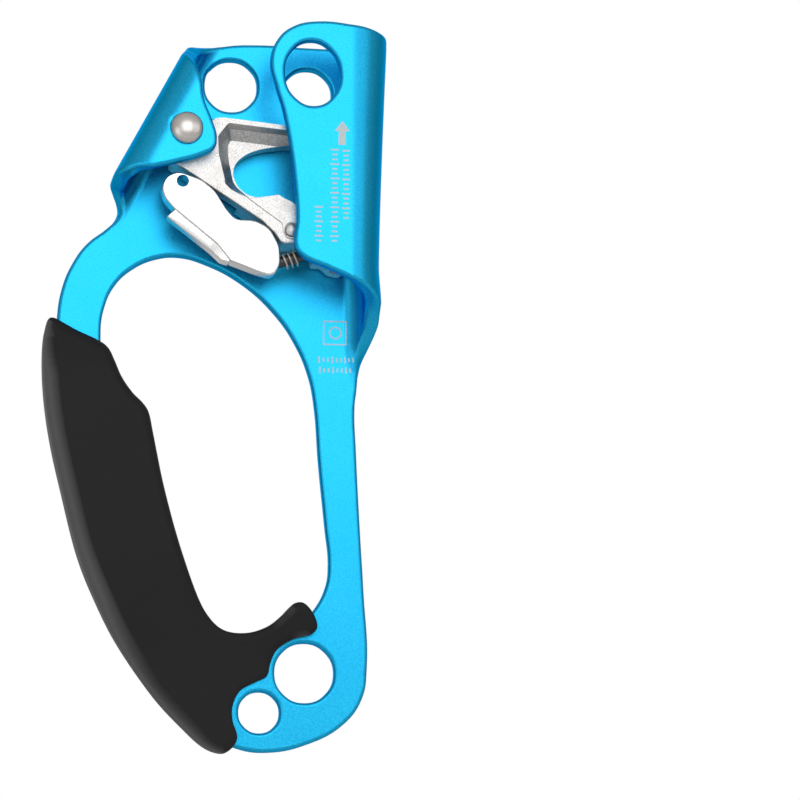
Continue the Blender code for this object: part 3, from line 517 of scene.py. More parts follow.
def body_outline():
    """The flat blank's outer edge, anticlockwise from the wing's lower corner."""
    wing = [on_wing(x, z) for x, z in (
        (-11.6, -31.6), (-12.7, -29.4), (-12.3, -22.4), (-13.0, -12.4), (-14.2, -3.2), (-16.1, 6.2),
        (-17.9, 12.0), (-19.2, 18.6), (-17.4, 24.2), (-13.2, 27.8), (-7.0, 29.2), (2.0, 28.6))]
    top = [on_channel(16.0, 27.4), on_channel(8.0, 26.8), (-8.0, 26.9), (-20.0, 27.3)]
    bracket_top = [on_bracket(length, along) for length, along in (
        (0.0, -7.6), (4.0, -3.6), (8.0, -0.8), (13.0, 1.4), (18.0, 4.6))]
    flap = [on_flap(x, z) for x, z in (
        (-36.3, 8.2), (-34.0, 2.2), (-32.9, -2.0), (-33.5, -4.8), (-36.2, -6.5), (-42.7, -8.6),
        (-49.2, -10.2))]
    bracket_foot = [on_bracket(length, along) for length, along in (
        (18.6, 36.0), (17.0, 38.0), (14.0, 39.8), (9.0, 40.7), (5.4, 41.0), (3.6, 42.0), (2.4, 43.4),
        (1.9, 45.4), (3.2, 49.8))]
    palm_side = [(-64.7, -26.7), (-68.1, -31.4), (-71.0, -38.4), (-72.2, -46.7), (-72.4, -58.0),
                 (-71.4, -70.0), (-67.9, -87.0), (-63.3, -104.0), (-58.0, -117.0), (-50.2, -131.0),
                 (-40.6, -144.0), (-31.0, -153.4), (-24.5, -156.6), (-17.2, -157.4)]
    foot = [(-7.4, -155.4), (2.2, -150.2), (7.0, -143.6), (8.3, -135.5)]
    leg = [(7.4, -116.0), (6.4, -99.5), (5.4, -80.0), (5.0, -68.0)]
    channel_foot = [on_channel(length, z) for length, z in (
        (4.0, -63.4), (4.3, -59.6), (4.6, -56.2), (5.5, -53.6), (6.9, -51.0), (8.6, -48.7),
        (10.8, -46.4), (14.0, -43.9), (18.0, -41.0))]
    wing_foot = [on_wing(2.4, -38.2), on_wing(-4.0, -35.3)]
    return wing + top + bracket_top + flap + bracket_foot + palm_side + foot + leg + channel_foot + wing_foot


def body_holes():
    """Every hole in the blank, clockwise."""
    return [loop_outline(),
            ring((-27.7, 16.0), 6.85),
            ring((-7.7, 14.5), 6.4),
            ring(on_wing(-8.4, 15.4), 7.1, stretch=1.2, lean=radians(-5)),
            ring((-7.9, -137.1), 7.65),
            ring((-19.5, -147.3), 5.25),
            ring(AXLE, AXLE_R + 0.2),
            ring(on_flap(*AXLE), AXLE_R + 0.2)]


def slice_mesh(bm, point, normal, keep=None):
    """Cut edges into the faces that a plane crosses, where keep says so."""
    faces = [face for face in bm.faces if keep is None or keep(face.calc_center_median())]
    geometry = list({item for face in faces for item in (face, *face.edges, *face.verts)})
    bmesh.ops.bisect_plane(bm, geom=geometry, plane_co=point, plane_no=normal, dist=1e-7)


def slice_rows(bm, origin, direction, first, last, spacing, keep=None):
    """Cut parallel rows of edges, at even steps along a direction of the blank."""
    count = max(1, round((last - first) / spacing))
    for index in range(count + 1):
        place = (Vector(origin) + direction * (first + (last - first) * index / count)) * MM
        slice_mesh(bm, (place.x, place.y, 0), (direction.x, direction.y, 0), keep)


def slice_for_bends(bm):
    """Give the blank fine rows of edges wherever it bends."""
    across, up = Vector((1, 0)), Vector((0, 1))

    def along_bracket(centre, direction):
        return (Vector(centre[:2]) / MM - Vector(BRACKET_START)).dot(direction)

    def above_foot(centre):
        return along_bracket(centre, BEND_DOWN) < BRACKET_END

    def in_channel(centre):
        return centre.x > CHANNEL_X * MM

    def in_bracket(centre):
        return above_foot(centre) and along_bracket(centre, BEND_OUT) > 0.0

    slice_rows(bm, BRACKET_START, BEND_DOWN, BRACKET_END, BRACKET_END, 1.0)
    for radius, origin, direction, around, inside in (
            (CHANNEL_R, (CHANNEL_X, 0), across, None, in_channel),
            (BRACKET_R, BRACKET_START, BEND_OUT, above_foot, in_bracket)):
        quarter = radius * pi / 2
        second = sheet_length(radius) - quarter
        slice_rows(bm, origin, direction, 0.0, 0.0, 1.0, around)
        slice_rows(bm, origin, direction, BEND_SLICE, quarter, BEND_SLICE, inside)
        slice_rows(bm, origin, direction, second, second + quarter, BEND_SLICE, inside)
    slice_rows(bm, (0, 0), up, *FOOT_ROWS, in_channel)
    slice_rows(bm, (0, 0), up, *CHANNEL_ROWS, in_channel)
    slice_rows(bm, BRACKET_START, BEND_DOWN, *BRACKET_ROWS, in_bracket)


def carry_mesh(bm, name, place):
    """Move a bmesh's points by a map of millimetres, carrying its normals exactly with them."""
    bm.normal_update()
    step = 0.002
    places, normals = [], []
    for vert in bm.verts:
        flat = [face.normal.z for face in vert.link_faces if abs(face.normal.z) > 0.9999]
        normal = Vector((0, 0, flat[0])) if flat else vert.normal
        x, y, z = vert.co / MM
        along_x = place(x + step, y, z) - place(x - step, y, z)
        along_y = place(x, y + step, z) - place(x, y - step, z)
        along_z = place(x, y, z + step) - place(x, y, z - step)
        carried = (normal.x * along_y.cross(along_z) + normal.y * along_z.cross(along_x)
                   + normal.z * along_x.cross(along_y))
        places.append(place(x, y, z) * MM)
        normals.append(carried.normalized())
    for vert, spot in zip(bm.verts, places):
        vert.co = spot
    mesh = bpy.data.meshes.new(name)
    bm.to_mesh(mesh)
    bm.free()
    mesh.shade_smooth()
    mesh.normals_split_custom_set_from_vertices([tuple(normal) for normal in normals])
    return mesh


def make_plate(finish):
    """The folded body with evenly rounded edges."""
    bm = outline_solid([body_outline()] + body_holes(), PLATE_T, PLATE_RIM, steps=7)
    slice_for_bends(bm)
    mesh = carry_mesh(bm, "body_plate", lambda x, y, z: fold(x, y, PLATE_T / 2 - z))
    mesh.materials.append(finish)
    plate = add_object("body_plate", mesh)
    finish_piece(plate, "frame", "frame_body")


# Grip

# The rounding's width and depth along each stretch of the grip's edge
GRIP_EDGES = {"palm": (4.3, 4.6), "tip": (3.0, 3.3), "holes": (1.6, 1.8), "hook": (2.2, 2.6),
              "fingers": (2.4, 2.8)}
# The rounding's section, from the grip's side to its face: shares of its width and of its depth
GRIP_ROUNDING = ((0.0, 1.0), (0.02, 0.8), (0.07, 0.62), (0.15, 0.46), (0.27, 0.32), (0.42, 0.2),
                 (0.58, 0.115), (0.73, 0.055), (0.87, 0.018), (1.0, 0.0))


def grip_outline():
    """The grip's edge from the front, anticlockwise: places, each with its rounding's width and depth."""
    palm = [(-73.4, -46.6), (-75.4, -50.0), (-75.8, -58.0), (-75.1, -68.0), (-73.4, -78.6), (-70.5, -91.0),
            (-66.3, -107.0), (-61.5, -119.0), (-55.6, -130.5), (-46.6, -143.3), (-38.6, -151.8)]
    tip = [(-33.4, -156.2), (-28.9, -157.7), (-26.2, -156.2)]
    holes = [(-25.1, -153.4), (-26.3, -149.5), (-26.3, -145.6), (-24.4, -141.8), (-20.5, -139.6),
             (-17.6, -138.0), (-16.7, -134.6), (-15.0, -131.2), (-10.8, -128.5), (-6.4, -127.3)]
    hook = [(-4.8, -125.2), (-6.0, -121.9), (-8.4, -119.4), (-11.0, -119.6), (-13.6, -122.2)]
    fingers = [(-17.6, -125.4), (-22.8, -127.1), (-28.4, -126.6), (-32.4, -123.5), (-35.9, -117.4),
               (-40.5, -104.6), (-44.5, -90.2), (-47.3, -77.0), (-48.5, -71.4), (-50.1, -68.7),
               (-52.8, -66.0), (-55.6, -62.0), (-57.4, -57.8), (-59.0, -54.5), (-61.4, -52.5),
               (-66.9, -49.9)]
    sections = (("palm", palm), ("tip", tip), ("holes", holes), ("hook", hook), ("fingers", fingers))
    return [(*place, *GRIP_EDGES[name]) for name, places in sections for place in places]


def curve_through(points, per_span):
    """A closed Catmull-Rom curve through points of any number of values."""
    places = []
    count = len(points)
    for index in range(count):
        before, here, after, beyond = (points[(index + shift) % count] for shift in (-1, 0, 1, 2))
        for step in range(per_span):
            t = step / per_span
            places.append([0.5 * (2 * b + (c - a) * t + (2 * a - 5 * b + 4 * c - d) * t * t
                                  + (3 * b - a - 3 * c + d) * t ** 3)
                           for a, b, c, d in zip(before, here, after, beyond)])
    return places


def turn_radius(before, here, after):
    """Radius of the circle through three points, or a large one where they turn the other way."""
    first, second = Vector(here) - Vector(before), Vector(after) - Vector(here)
    turn = first.angle_signed(second, 0.0)
    return (first.length + second.length) / 2 / -turn if turn < -1e-4 else 1e3


def safe_widths(places):
    """Rounding widths cut back at tight corners and eased along the edge, so rows never cross."""
    count = len(places)
    reach = 6
    widths = []
    for index, place in enumerate(places):
        radius = turn_radius(places[index - reach][:2], place[:2], places[(index + reach) % count][:2])
        widths.append(min(place[2], 0.8 * radius))
    for _sweep in range(2):
        for order in (range(-count, count), range(count, -count, -1)):
            for index in order:
                here, near = index % count, (index - order.step) % count
                gap = (Vector(places[here][:2]) - Vector(places[near][:2])).length
                widths[here] = min(widths[here], widths[near] + 0.5 * gap)
    return widths


def edge_row(places, widths, inset, drop):
    """One row of the rounding: each place moved inwards and forwards by shares of its width and depth."""
    row = []
    count = len(places)
    for index, (x, z, width, depth) in enumerate(places):
        ahead = Vector(places[(index + 1) % count][:2]) - Vector(places[index - 1][:2])
        inward = Vector((-ahead.y, ahead.x)).normalized()
        scale = widths[index] / width
        spot = Vector((x, z)) + inward * widths[index] * inset
        row.append((spot.x, spot.y, GRIP_HALF - depth * scale * drop))
    return row


def grip_blank():
    """The grip before it is thinned towards its ends: a flat pad with a shaped rounding all round."""
    places = curve_through(grip_outline(), 8)
    widths = safe_widths(places)
    front = [edge_row(places, widths, inset, drop) for inset, drop in GRIP_ROUNDING]
    rows = [[(x, z, -depth) for x, z, depth in row] for row in reversed(front)] + front
    bm = bmesh.new()
    loops = [[bm.verts.new(Vector(spot) * MM) for spot in row] for row in rows]
    bridge(bm, loops)
    bm.faces.new(loops[-1])
    bm.faces.new(loops[0][::-1])
    return bm


def thin_grip(x, z, depth):
    """Where a point of the grip's blank goes: the pad thins by the holes and at its top."""
    for share, *fade in (GRIP_SLIM, GRIP_TIP):
        depth *= share + (1 - share) * ease(z, *fade)
    return Vector((x, PLATE_FRONT + PLATE_T / 2 - depth, z))


def make_grip(finish):
    """The moulded grip, hollowed for the plate."""
    bm = grip_blank()
    slice_rows(bm, (0, 0), Vector((0, 1)), *GRIP_ROWS)
    for vert in bm.verts:
        vert.co = thin_grip(*(vert.co / MM)) * MM
    grip = solid("grip_shell", bm, finish, 60.0)
    core = outline_solid([body_outline(), loop_outline()], PLATE_T + 2 * GAP, 0.0, grow=GAP)
    cut(grip, stand_up(core, PLATE_FRONT + PLATE_T / 2))
    weigh_normals(grip, 60.0)
    finish_piece(grip, "grip", "frame_body")


# Cam

HUB_R = 6.2
CAM_T = 13.0
CAM_FIRST_R = 40.4  # axle to the top of the toothed face
CAM_SPIRAL = 0.44  # growth of the toothed face per radian
CAM_SWEEP = (-1.0, -36.6)  # the toothed face's angles below the axle, degrees
CAM_RIM = 0.4  # bevel round the casting's edges
ARM_RISE = 0.45  # the arm stands this far above the rest of the front face
LINE_DEPTH = 1.0  # depth of the line along the arm's foot
POCKET_BRIM = (0.45, 0.3)  # the cutter's flare, outwards and in front of the face
POCKET_CHAMFER = 0.65  # depth of the chamfer round the pocket's mouth
POCKET_FOOT = -1.4  # y where the pocket's steep walls meet its sloping ones
POCKET_FLOOR = 1.0
MUD_GROOVE = 2.6  # width and depth of the groove down the toothed face
SPRING_SEAT_R = 7.6  # the cam's spring sits in a counterbore behind the hub
SPRING_SEAT = 2.0  # y of its floor
TOOTH_R = 0.85  # a tooth at its root
TOOTH_TIP_R = 0.15
TOOTH_ROOT = 0.6  # depth of a tooth's root below the face
TOOTH_REACH = (2.3, 0.9)  # a tooth's tip from its root: outwards and upwards
TOOTH_ROWS = ((-5.2, -3.3, 3.3, 5.2), (-4.4, -2.2, 2.2, 4.4))  # y of the teeth in alternate rows
TOE_PIN = (-13.1, -24.6)  # x and z of the pin in the cam's toe
TOE_PIN_R = 1.0
TOE_HEAD_R = 1.7
TOE_RECESS = (2.0, 1.4)  # radius and depth
HINGE_PIN_R = 1.4
HINGE_PIN = (-6.2, 12.2)  # the hinge pin's ends along its axis
CUT_END = 10.0  # y, both ways, beyond every face that a bore crosses


def spiral(angle, inset=0.0):
    """A point of the toothed face, at degrees below the axle's level."""
    turn = radians(angle)
    radius = CAM_FIRST_R * exp(CAM_SPIRAL * (radians(CAM_SWEEP[0]) - turn)) - inset
    return AXLE[0] + radius * cos(turn), AXLE[1] + radius * sin(turn)


def face_angles(count):
    """Evenly spaced angles down the toothed face."""
    first, last = CAM_SWEEP
    return [first + (last - first) * index / (count - 1) for index in range(count)]


def hub_arc(first, last, count):
    """Points round the cam's hub between two angles in degrees."""
    angles = [radians(first + (last - first) * index / (count - 1)) for index in range(count)]
    return [(AXLE[0] + HUB_R * cos(angle), AXLE[1] + HUB_R * sin(angle)) for angle in angles]


def cam_outline():
    """The cam from the front, anticlockwise from the arm's end under the flap."""
    arm = [(-44.8, -6.8, 1.2), (-20.6, -22.5, 6.0), (-17.4, -25.6, 4.0), (-15.6, -28.3, 2.0)]
    boss = [(-10.4, -27.8, 1.0), (-7.4, -27.4, 0.6)]
    toe = [(-7.4, -32.4, 1.2), (-4.6, -32.5, 1.0), (-2.6, -34.2, 2.0), (0.8, -34.9, 2.0)]
    face = [(*spiral(angle), 0.5) for angle in reversed(face_angles(22))]
    crown = [(-0.8, 1.9, 1.0), (-14.5, 2.7, 6.0), (-33.2, 4.6, 6.0)]
    return rounded(arm + boss + toe + face + crown, 4) + hub_arc(75, 205, 20)


def pocket_loops():
    """The pocket's outline above its mouth, at the mouth, at its steep walls' foot and at its floor."""
    mouth = [(-29.5, 2.9), (-32.1, -0.5), (-31.9, -5.0), (-30.0, -13.0), (-28.6, -14.3), (-24.1, -16.7),
             (-15.8, -15.3), (-12.2, -17.8), (-7.4, -18.5), (-5.0, -15.5), (-5.0, -1.0), (-6.4, 0.6)]
    foot = [(-28.9, 2.5), (-29.7, 0.0), (-29.2, -5.0), (-27.9, -11.4), (-26.9, -12.9), (-23.4, -15.9),
            (-15.8, -15.0), (-12.2, -17.5), (-7.4, -18.2), (-5.2, -15.5), (-5.2, -1.3), (-6.6, 0.3)]
    floor = [(-28.4, -0.1), (-29.0, -1.6), (-28.8, -5.4), (-27.7, -11.4), (-26.7, -12.9), (-23.3, -15.8),
             (-15.8, -14.9), (-12.2, -17.4), (-7.5, -18.1), (-5.3, -15.5), (-5.3, -3.6), (-6.7, -2.3)]
    shared = (4.0, 1.5, 1.0, 0.6, 0.4, 0.4, 1.5, 1.5, 1.0, 0.8)
    upper, lower = (1.2, 1.6, *shared), (0.8, 1.2, *shared)
    levels = ((grown(mouth, POCKET_BRIM[0]), upper), (mouth, upper), (foot, lower), (floor, lower))
    return [rounded([(x, z, radius) for (x, z), radius in zip(*level)]) for level in levels]


def window_outline():
    """The opening through the cam's floor."""
    return [(-12.6, -1.2), (-17.3, -1.6), (-22.3, -2.8), (-25.1, -4.3), (-27.0, -6.3), (-27.6, -8.4),
            (-27.1, -10.8), (-25.8, -12.8), (-23.0, -14.6), (-17.6, -15.0), (-14.6, -16.6), (-11.6, -17.6),
            (-7.8, -17.4), (-5.8, -14.0), (-5.8, -5.6), (-8.4, -2.2)]


def face_step():
    """Everything above the arm's raised rib: the rest of the front face lies lower."""
    line = [(-39.6, -5.9, 0.5), (-29.6, -12.7, 2.0), (-24.5, -16.7, 2.0), (-15.8, -22.9, 1.0),
            (-15.2, -25.8, 1.5), (-13.1, -26.8, 1.2), (-11.0, -25.8, 1.5), (-10.2, -23.4, 1.0)]
    return rounded(line + [(9.0, -23.4, 0.5), (9.0, 8.0, 0.5), (-33.0, 8.0, 0.5), (-33.0, -3.0, 0.5)])


def groove_outline():
    """The mud groove down the middle of the toothed face."""
    angles = (2.0, -14.0, -30.0, -46.0)
    outer = [spiral(angle, inset=-4.0) for angle in angles]
    return outer + [spiral(angle, inset=MUD_GROOVE) for angle in reversed(angles)]


def turned_block(size, centre, turn):
    """A bmesh block of a size, turned about the Y axis at a centre."""
    bm = bmesh.new()
    bmesh.ops.create_cube(bm, size=1.0)
    shape = Matrix.Diagonal((*(value * MM for value in size), 1.0))
    place = Matrix.Translation(Vector(centre) * MM) @ Matrix.Rotation(turn, 4, "Y")
    bmesh.ops.transform(bm, matrix=place @ shape, verts=bm.verts)
    return bm


def arm_relief():
    """Behind the middle of the arm the casting is cut back to a rib."""
    return turned_block((11.0, 10.0, 5.0), (-32.0, 4.0, -16.2), radians(32))


def hinge_point(along):
    """A point on the catch's hinge axis, at millimetres along it."""
    return tuple(Vector(HINGE) + HINGE_DIR * along)


def add_teeth(cam):
    """Rows of hooked spikes on the toothed face."""
    outwards, upwards = TOOTH_REACH
    for row, angle in enumerate(face_angles(11)[1:-1]):
        base = Vector(spiral(angle, inset=TOOTH_ROOT))
        up = (Vector(spiral(angle + 0.1)) - Vector(spiral(angle - 0.1))).normalized()
        out = Vector((up.y, -up.x))
        tip = base + out * outwards + up * upwards
        for y in TOOTH_ROWS[row % 2]:
            tooth = rod((base.x, y, base.y), (tip.x, y, tip.y), TOOTH_R, 12, end_radius=TOOTH_TIP_R)
            cut(cam, tooth, "UNION")


def face_groove():
    """The fine line where the casting's raised arm meets its face, round the toe pin."""
    line = [(-29.4, -12.9), (-24.5, -16.75), (-15.7, -23.0), (-15.4, -25.3), (-14.5, -26.75),
            (-13.0, -27.2), (-11.4, -26.7)]
    before = Vector(line[0]) * 2 - Vector(line[1])
    after = Vector(line[-1]) * 2 - Vector(line[-2])
    row = [tuple(before)] + line + [tuple(after)]
    right, left = grown(row, 0.12)[1:-1], grown(row, -0.3)[1:-1]
    return right + left[::-1]


def through(place, radius, first=-CUT_END, last=CUT_END):
    """A bore along Y at an x and z, between two depths."""
    return rod((place[0], first, place[1]), (place[0], last, place[1]), radius)


def front_cutter(loop, floor):
    """Clears a straight-sided outline from the cam's front face down to a floor."""
    return stand_up(outline_solid([loop], 4.0, 0.0, smooth=False), floor - 2.0)


def make_cam(finish):
    """The cast cam with its pocket, window, raised arm, toe, bores and teeth."""
    bm = stand_up(outline_solid([cam_outline()], CAM_T, CAM_RIM, rounding=2, smooth=False), 0.0)
    cam = solid("cast_cam", bm, finish)
    front = -CAM_T / 2
    depths = (front - POCKET_BRIM[1], front + POCKET_CHAMFER, POCKET_FOOT, POCKET_FLOOR)
    for cutter in (loft(*zip(pocket_loops(), depths)),
                   stand_up(outline_solid([window_outline()], CAM_T + 4, 0.0, steps=6), 0.0),
                   arm_relief(),
                   front_cutter(face_step(), front + ARM_RISE),
                   front_cutter(face_groove(), front + LINE_DEPTH),
                   through(AXLE, BUSH_R + GAP),
                   through(AXLE, SPRING_SEAT_R, SPRING_SEAT),
                   through(TOE_PIN, TOE_RECESS[0], last=front + TOE_RECESS[1]),
                   through(TOE_PIN, TOE_PIN_R + GAP, last=4.0),
                   rod(hinge_point(2.0), hinge_point(HINGE_PIN[1] + 0.4), HINGE_PIN_R + GAP),
                   stand_up(outline_solid([groove_outline()], MUD_GROOVE, 0.0), 0.0)):
        cut(cam, cutter)
    add_teeth(cam)
    weigh_normals(cam, 25.0)
    finish_piece(cam, "cam", "cam_body")


# Catch and its hinge

CATCH_BACK = -0.5  # y of the catch's back face
CATCH_T = 6.5
CATCH_FRONT = CATCH_BACK - CATCH_T
CATCH_RIM = 0.45
CORD_HOLE = (-41.2, -12.7)  # x and z of the hole for a pull cord
CORD_HOLE_R = 1.6
FLANGE_T = 5.2  # depth of the thumb flange
FLANGE_LEAN = 0.36  # its outer edge lies this far behind its inner one
THUMB_GROOVES = 11  # cuts along the slot in the flange's face
END_LEAN = 0.1  # slope of the face beyond the line across the catch
CATCH_SPRING = (0.28, 2.1, 1.35, 3.44)  # wire radius, coil radius, pitch and turns
CAM_SPRING = (0.5, 5.1, 1.05, 3.0)


def catch_outline():
    """The catch's body from the front, anticlockwise from its cord end."""
    tip = [(-42.2, -10.1, 6.0), (-45.4, -11.4, 6.0), (-46.7, -14.4, 6.0), (-45.6, -17.4, 6.0),
           (-43.3, -20.0, 1.2)]
    foot = [(-32.3, -28.9, 3.0), (-28.7, -33.3, 1.0), (-21.5, -35.9, 3.0), (-17.8, -36.9, 4.0)]
    barrel = [(-15.9, -33.6, 5.0), (-16.1, -28.9, 6.0), (-18.8, -24.2, 6.0), (-22.6, -22.4, 6.0)]
    waist = [(-27.6, -22.4, 6.0), (-30.0, -19.6, 6.0), (-32.9, -15.0, 8.0), (-36.4, -12.2, 8.0)]
    return rounded(tip + foot + barrel + waist)


def flange_corners():
    """The thumb flange's corners from the front, anticlockwise from its free upper corner."""
    return [(-45.3, -21.9), (-34.0, -30.5), (-31.3, -33.0), (-29.3, -33.6), (-28.0, -32.4),
            (-29.6, -30.4), (-34.0, -26.6), (-42.6, -19.4)]


def make_thumb_flange():
    """The ledge along the catch's lower edge, its face leaning back a little outwards."""
    corners = rounded([(x, z, 0.7) for x, z in flange_corners()])
    bm = outline_solid([corners], FLANGE_T, 0.4, rounding=2, smooth=False)
    stand_up(bm, CATCH_FRONT + 3.0)
    for vert in bm.verts:
        outer = vert.co.x + vert.co.z * 1.3 < -70.5 * MM
        if vert.co.y < -4 * MM and outer:
            vert.co.y += FLANGE_LEAN * MM
    return bm


def thumb_slot():
    """A long shallow recess in the flange's face."""
    corners = rounded([(-43.4, -21.6, 0.3), (-34.0, -29.2, 0.3), (-33.0, -28.2, 0.3), (-42.3, -20.7, 0.3)], 3)
    return stand_up(outline_solid([corners], 1.0, 0.0, smooth=False), CATCH_FRONT + 0.4)


def thumb_grooves(catch):
    """Shallow cuts along the slot in the flange's face."""
    first, last = Vector((-42.9, -21.2)), Vector((-33.5, -28.7))
    run = last - first
    for index in range(THUMB_GROOVES):
        centre = first + run * (0.05 + 0.09 * index)
        cut(catch, turned_block((0.35, 1.0, 1.0), (centre.x, CATCH_FRONT + 0.65, centre.y),
                                -atan2(run.y, run.x)))


def lean_end(catch):
    """The catch's face past a line across it leans back a little towards the hinge."""
    bm = bmesh.new()
    bm.from_mesh(catch.data)
    across = Vector((10.4, 0.0, -1.7)).normalized()
    start = Vector((-23.9, 0.0, -22.5)) * MM
    slice_mesh(bm, start, across)
    for vert in bm.verts:
        past = (vert.co - start).dot(across)
        front = min(max((-3.5 * MM - vert.co.y) / (3.0 * MM), 0.0), 1.0)
        if past > 0.0:
            vert.co.y += END_LEAN * past * front
    bm.to_mesh(catch.data)
    bm.free()


def make_catch(finish):
    """The safety catch with its cord hole, hinge bore and ribbed thumb flange."""
    bm = outline_solid([catch_outline()], CATCH_T, CATCH_RIM, rounding=3, smooth=False)
    stand_up(bm, CATCH_BACK - CATCH_T / 2)
    catch = solid("thumb_catch", bm, finish)
    cut(catch, make_thumb_flange(), "UNION")
    cut(catch, thumb_slot())
    thumb_grooves(catch)
    cut(catch, through(CORD_HOLE, CORD_HOLE_R, -12, 4))
    cut(catch, rod(hinge_point(HINGE_PIN[0] - 0.4), hinge_point(2.0), HINGE_PIN_R + GAP))
    lean_end(catch)
    weigh_normals(catch, 28.0)
    finish_piece(catch, "safety_catch", "catch_body")


def helix(base, size, per_turn, start, up, front):
    """Coil points about an axis from a base, starting at an angle; angles run from front to up."""
    radius, pitch, turns = size
    places = []
    for index in range(round(turns * per_turn) + 1):
        angle = start - 2 * pi * index / per_turn
        across = radius * cos(angle) * front + radius * sin(angle) * up
        places.append(base + across + up.cross(front) * pitch * index / per_turn)
    return places


def make_springs(finish):
    """The catch's torsion spring, and the cam's spring behind its hub."""
    rise = atan2(HINGE_DIR.z, HINGE_DIR.x)
    up = Vector((-sin(rise), 0.0, cos(rise)))
    coil = helix(Vector(hinge_point(-1.9)), CATCH_SPRING[1:], 14, pi, up, Vector((0, -1, 0)))
    leg_in = [Vector((-19.6, 0.15, -30.6)), Vector((-16.4, 0.05, -31.6))]
    leg_out = [coil[-1] + Vector((0.6, -0.7, -0.5)), coil[-1] + Vector((5.4, -1.2, -3.4))]
    made = wire("hinge_spring", leg_in + coil + leg_out, CATCH_SPRING[0], finish)
    finish_piece(made, "catch_spring", "cam_body")
    base = Vector((AXLE[0], 2.85, AXLE[1]))
    coil = helix(base, CAM_SPRING[1:], 16, radians(-60), Vector((0, 0, 1)), Vector((1, 0, 0)))
    made = wire("hub_spring", coil + [coil[-1] + Vector((-1.4, 0.0, -1.0))], CAM_SPRING[0], finish)
    finish_piece(made, "cam_spring", "cam_body")


def dome(radius, base, rise, step):
    """The profile of a domed head, from its crown to its edge, above a base height."""
    angles = [radians(angle) for angle in range(0, 91, step)]
    return [(radius * sin(angle), base + rise * cos(angle)) for angle in angles]


def make_pins(finish, cast, dark):
    """The domed rivet at the axle, the pin in the toe and the catch's hinge pin."""
    head = PLATE_FRONT + PLATE_T + GAP
    shank = AXLE_R - 0.1
    foot = [(RIVET_R, head), (shank, head), (shank, -head + GAP), (2.2, -head - 1.2), (0.0, -head - 1.2)]
    made = turned("axle_rivet", dome(RIVET_R, head + 0.25, 1.95, 6) + foot, (AXLE[0], 0, AXLE[1]),
                  (0, -1, 0), finish)
    finish_piece(made, "cam_axle", "frame_body")
    front = CAM_T / 2
    foot = [(TOE_HEAD_R, front - 1.0), (TOE_PIN_R, front - 1.0), (TOE_PIN_R, -3.4), (0.0, -3.4)]
    made = turned("toe_rivet", dome(TOE_HEAD_R, front - 0.5, 0.8, 9) + foot, (TOE_PIN[0], 0, TOE_PIN[1]),
                  (0, -1, 0), cast)
    finish_piece(made, "toe_pin", "cam_body")
    low, high = HINGE_PIN
    end = [(0.0, 0.0), (HINGE_PIN_R - 0.3, 0.0), (HINGE_PIN_R - 0.08, 0.08), (HINGE_PIN_R, 0.3)]
    pin = [(radius, high - drop) for radius, drop in end]
    pin += [(radius, low + drop) for radius, drop in reversed(end)]
    made = turned("hinge_pin", pin, HINGE, HINGE_DIR, dark)
    finish_piece(made, "catch_hinge_pin", "cam_body")


# Laser marks

MARK_T = 0.07  # thickness of a mark, half of it above the plate
TICK_W = 0.42
BADGE = (-0.2, -48.8)  # middle of the framed disc


def box_loop(x, z, width, height):
    """A rectangle about a centre, anticlockwise."""
    left, right, low, high = x - width / 2, x + width / 2, z - height / 2, z + height / 2
    return [(left, low), (right, low), (right, high), (left, high)]


def ticks(x, z, count, step, short, long):
    """A plain scale of ticks, every third one long."""
    return [[box_loop(x + step[0] * index, z + step[1] * index, *(short if index % 3 else long))]
            for index in range(count)]


def wing_marks():
    """An arrow towards the rope's top, and three scales."""
    arrow = [(-1.8, -3.3), (0.1, -3.3), (0.1, 0.3), (1.2, 0.3), (-0.75, 3.0), (-2.8, 0.3), (-1.7, 0.3)]
    scales = ((0.2, -4.8, 15, 1.3, 2.0), (-2.7, -4.6, 20, 1.4, 2.2), (-6.8, -19.6, 8, 1.4, 2.2))
    return [[arrow]] + [tick for x, z, count, short, long in scales
                        for tick in ticks(x, z, count, (0.0, -1.25), (short, TICK_W), (long, TICK_W))]


def leg_marks():
    """A plain framed disc, and two scales below it."""
    square = [box_loop(*BADGE, 6.4, 6.4), box_loop(*BADGE, 5.7, 5.7)[::-1]]
    disc = [ring(BADGE, 1.7, 24)[::-1], ring(BADGE, 1.3, 24)]
    return [square, disc] + [tick for x, z, count in ((-4.4, -55.9, 9), (-4.2, -58.6, 8))
                             for tick in ticks(x, z, count, (1.15, 0.0), (TICK_W, 1.1), (TICK_W, 1.7))]


def make_marks(finish):
    """Generic laser marks, folded with the plate that they lie on."""
    whole = bmesh.new()
    marks = [(loops, PLATE_T, True) for loops in wing_marks()]
    marks += [(loops, 0.0, False) for loops in leg_marks()]
    for loops, depth, flip in marks:
        bm = outline_solid(loops, MARK_T, 0.0, smooth=False)
        slice_rows(bm, (0, 0), Vector((1, 0)), 1.0, 6.0, 0.5)
        for vert in bm.verts:
            u, v, rise = vert.co / MM
            u, v = on_wing(u, v) if flip else (u, v)
            vert.co = fold(u, v, depth + (rise if flip else -rise)) * MM
        bmesh.ops.recalc_face_normals(bm, faces=bm.faces)
        part = bpy.data.meshes.new("mark")
        bm.to_mesh(part)
        bm.free()
        whole.from_mesh(part)
        bpy.data.meshes.remove(part)
    made = solid("laser_marks", whole, finish)
    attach(made, "frame_body")


# Camera, light and floor

CAMERA_LENS = 173.54  # focal length for a 36 mm sensor
CAMERA_AT = (radians(-7.5), radians(-8.5), 1.0)  # azimuth, elevation and metres away
CAMERA_TARGET = (0.01675, 0.008, -0.06602)  # metres
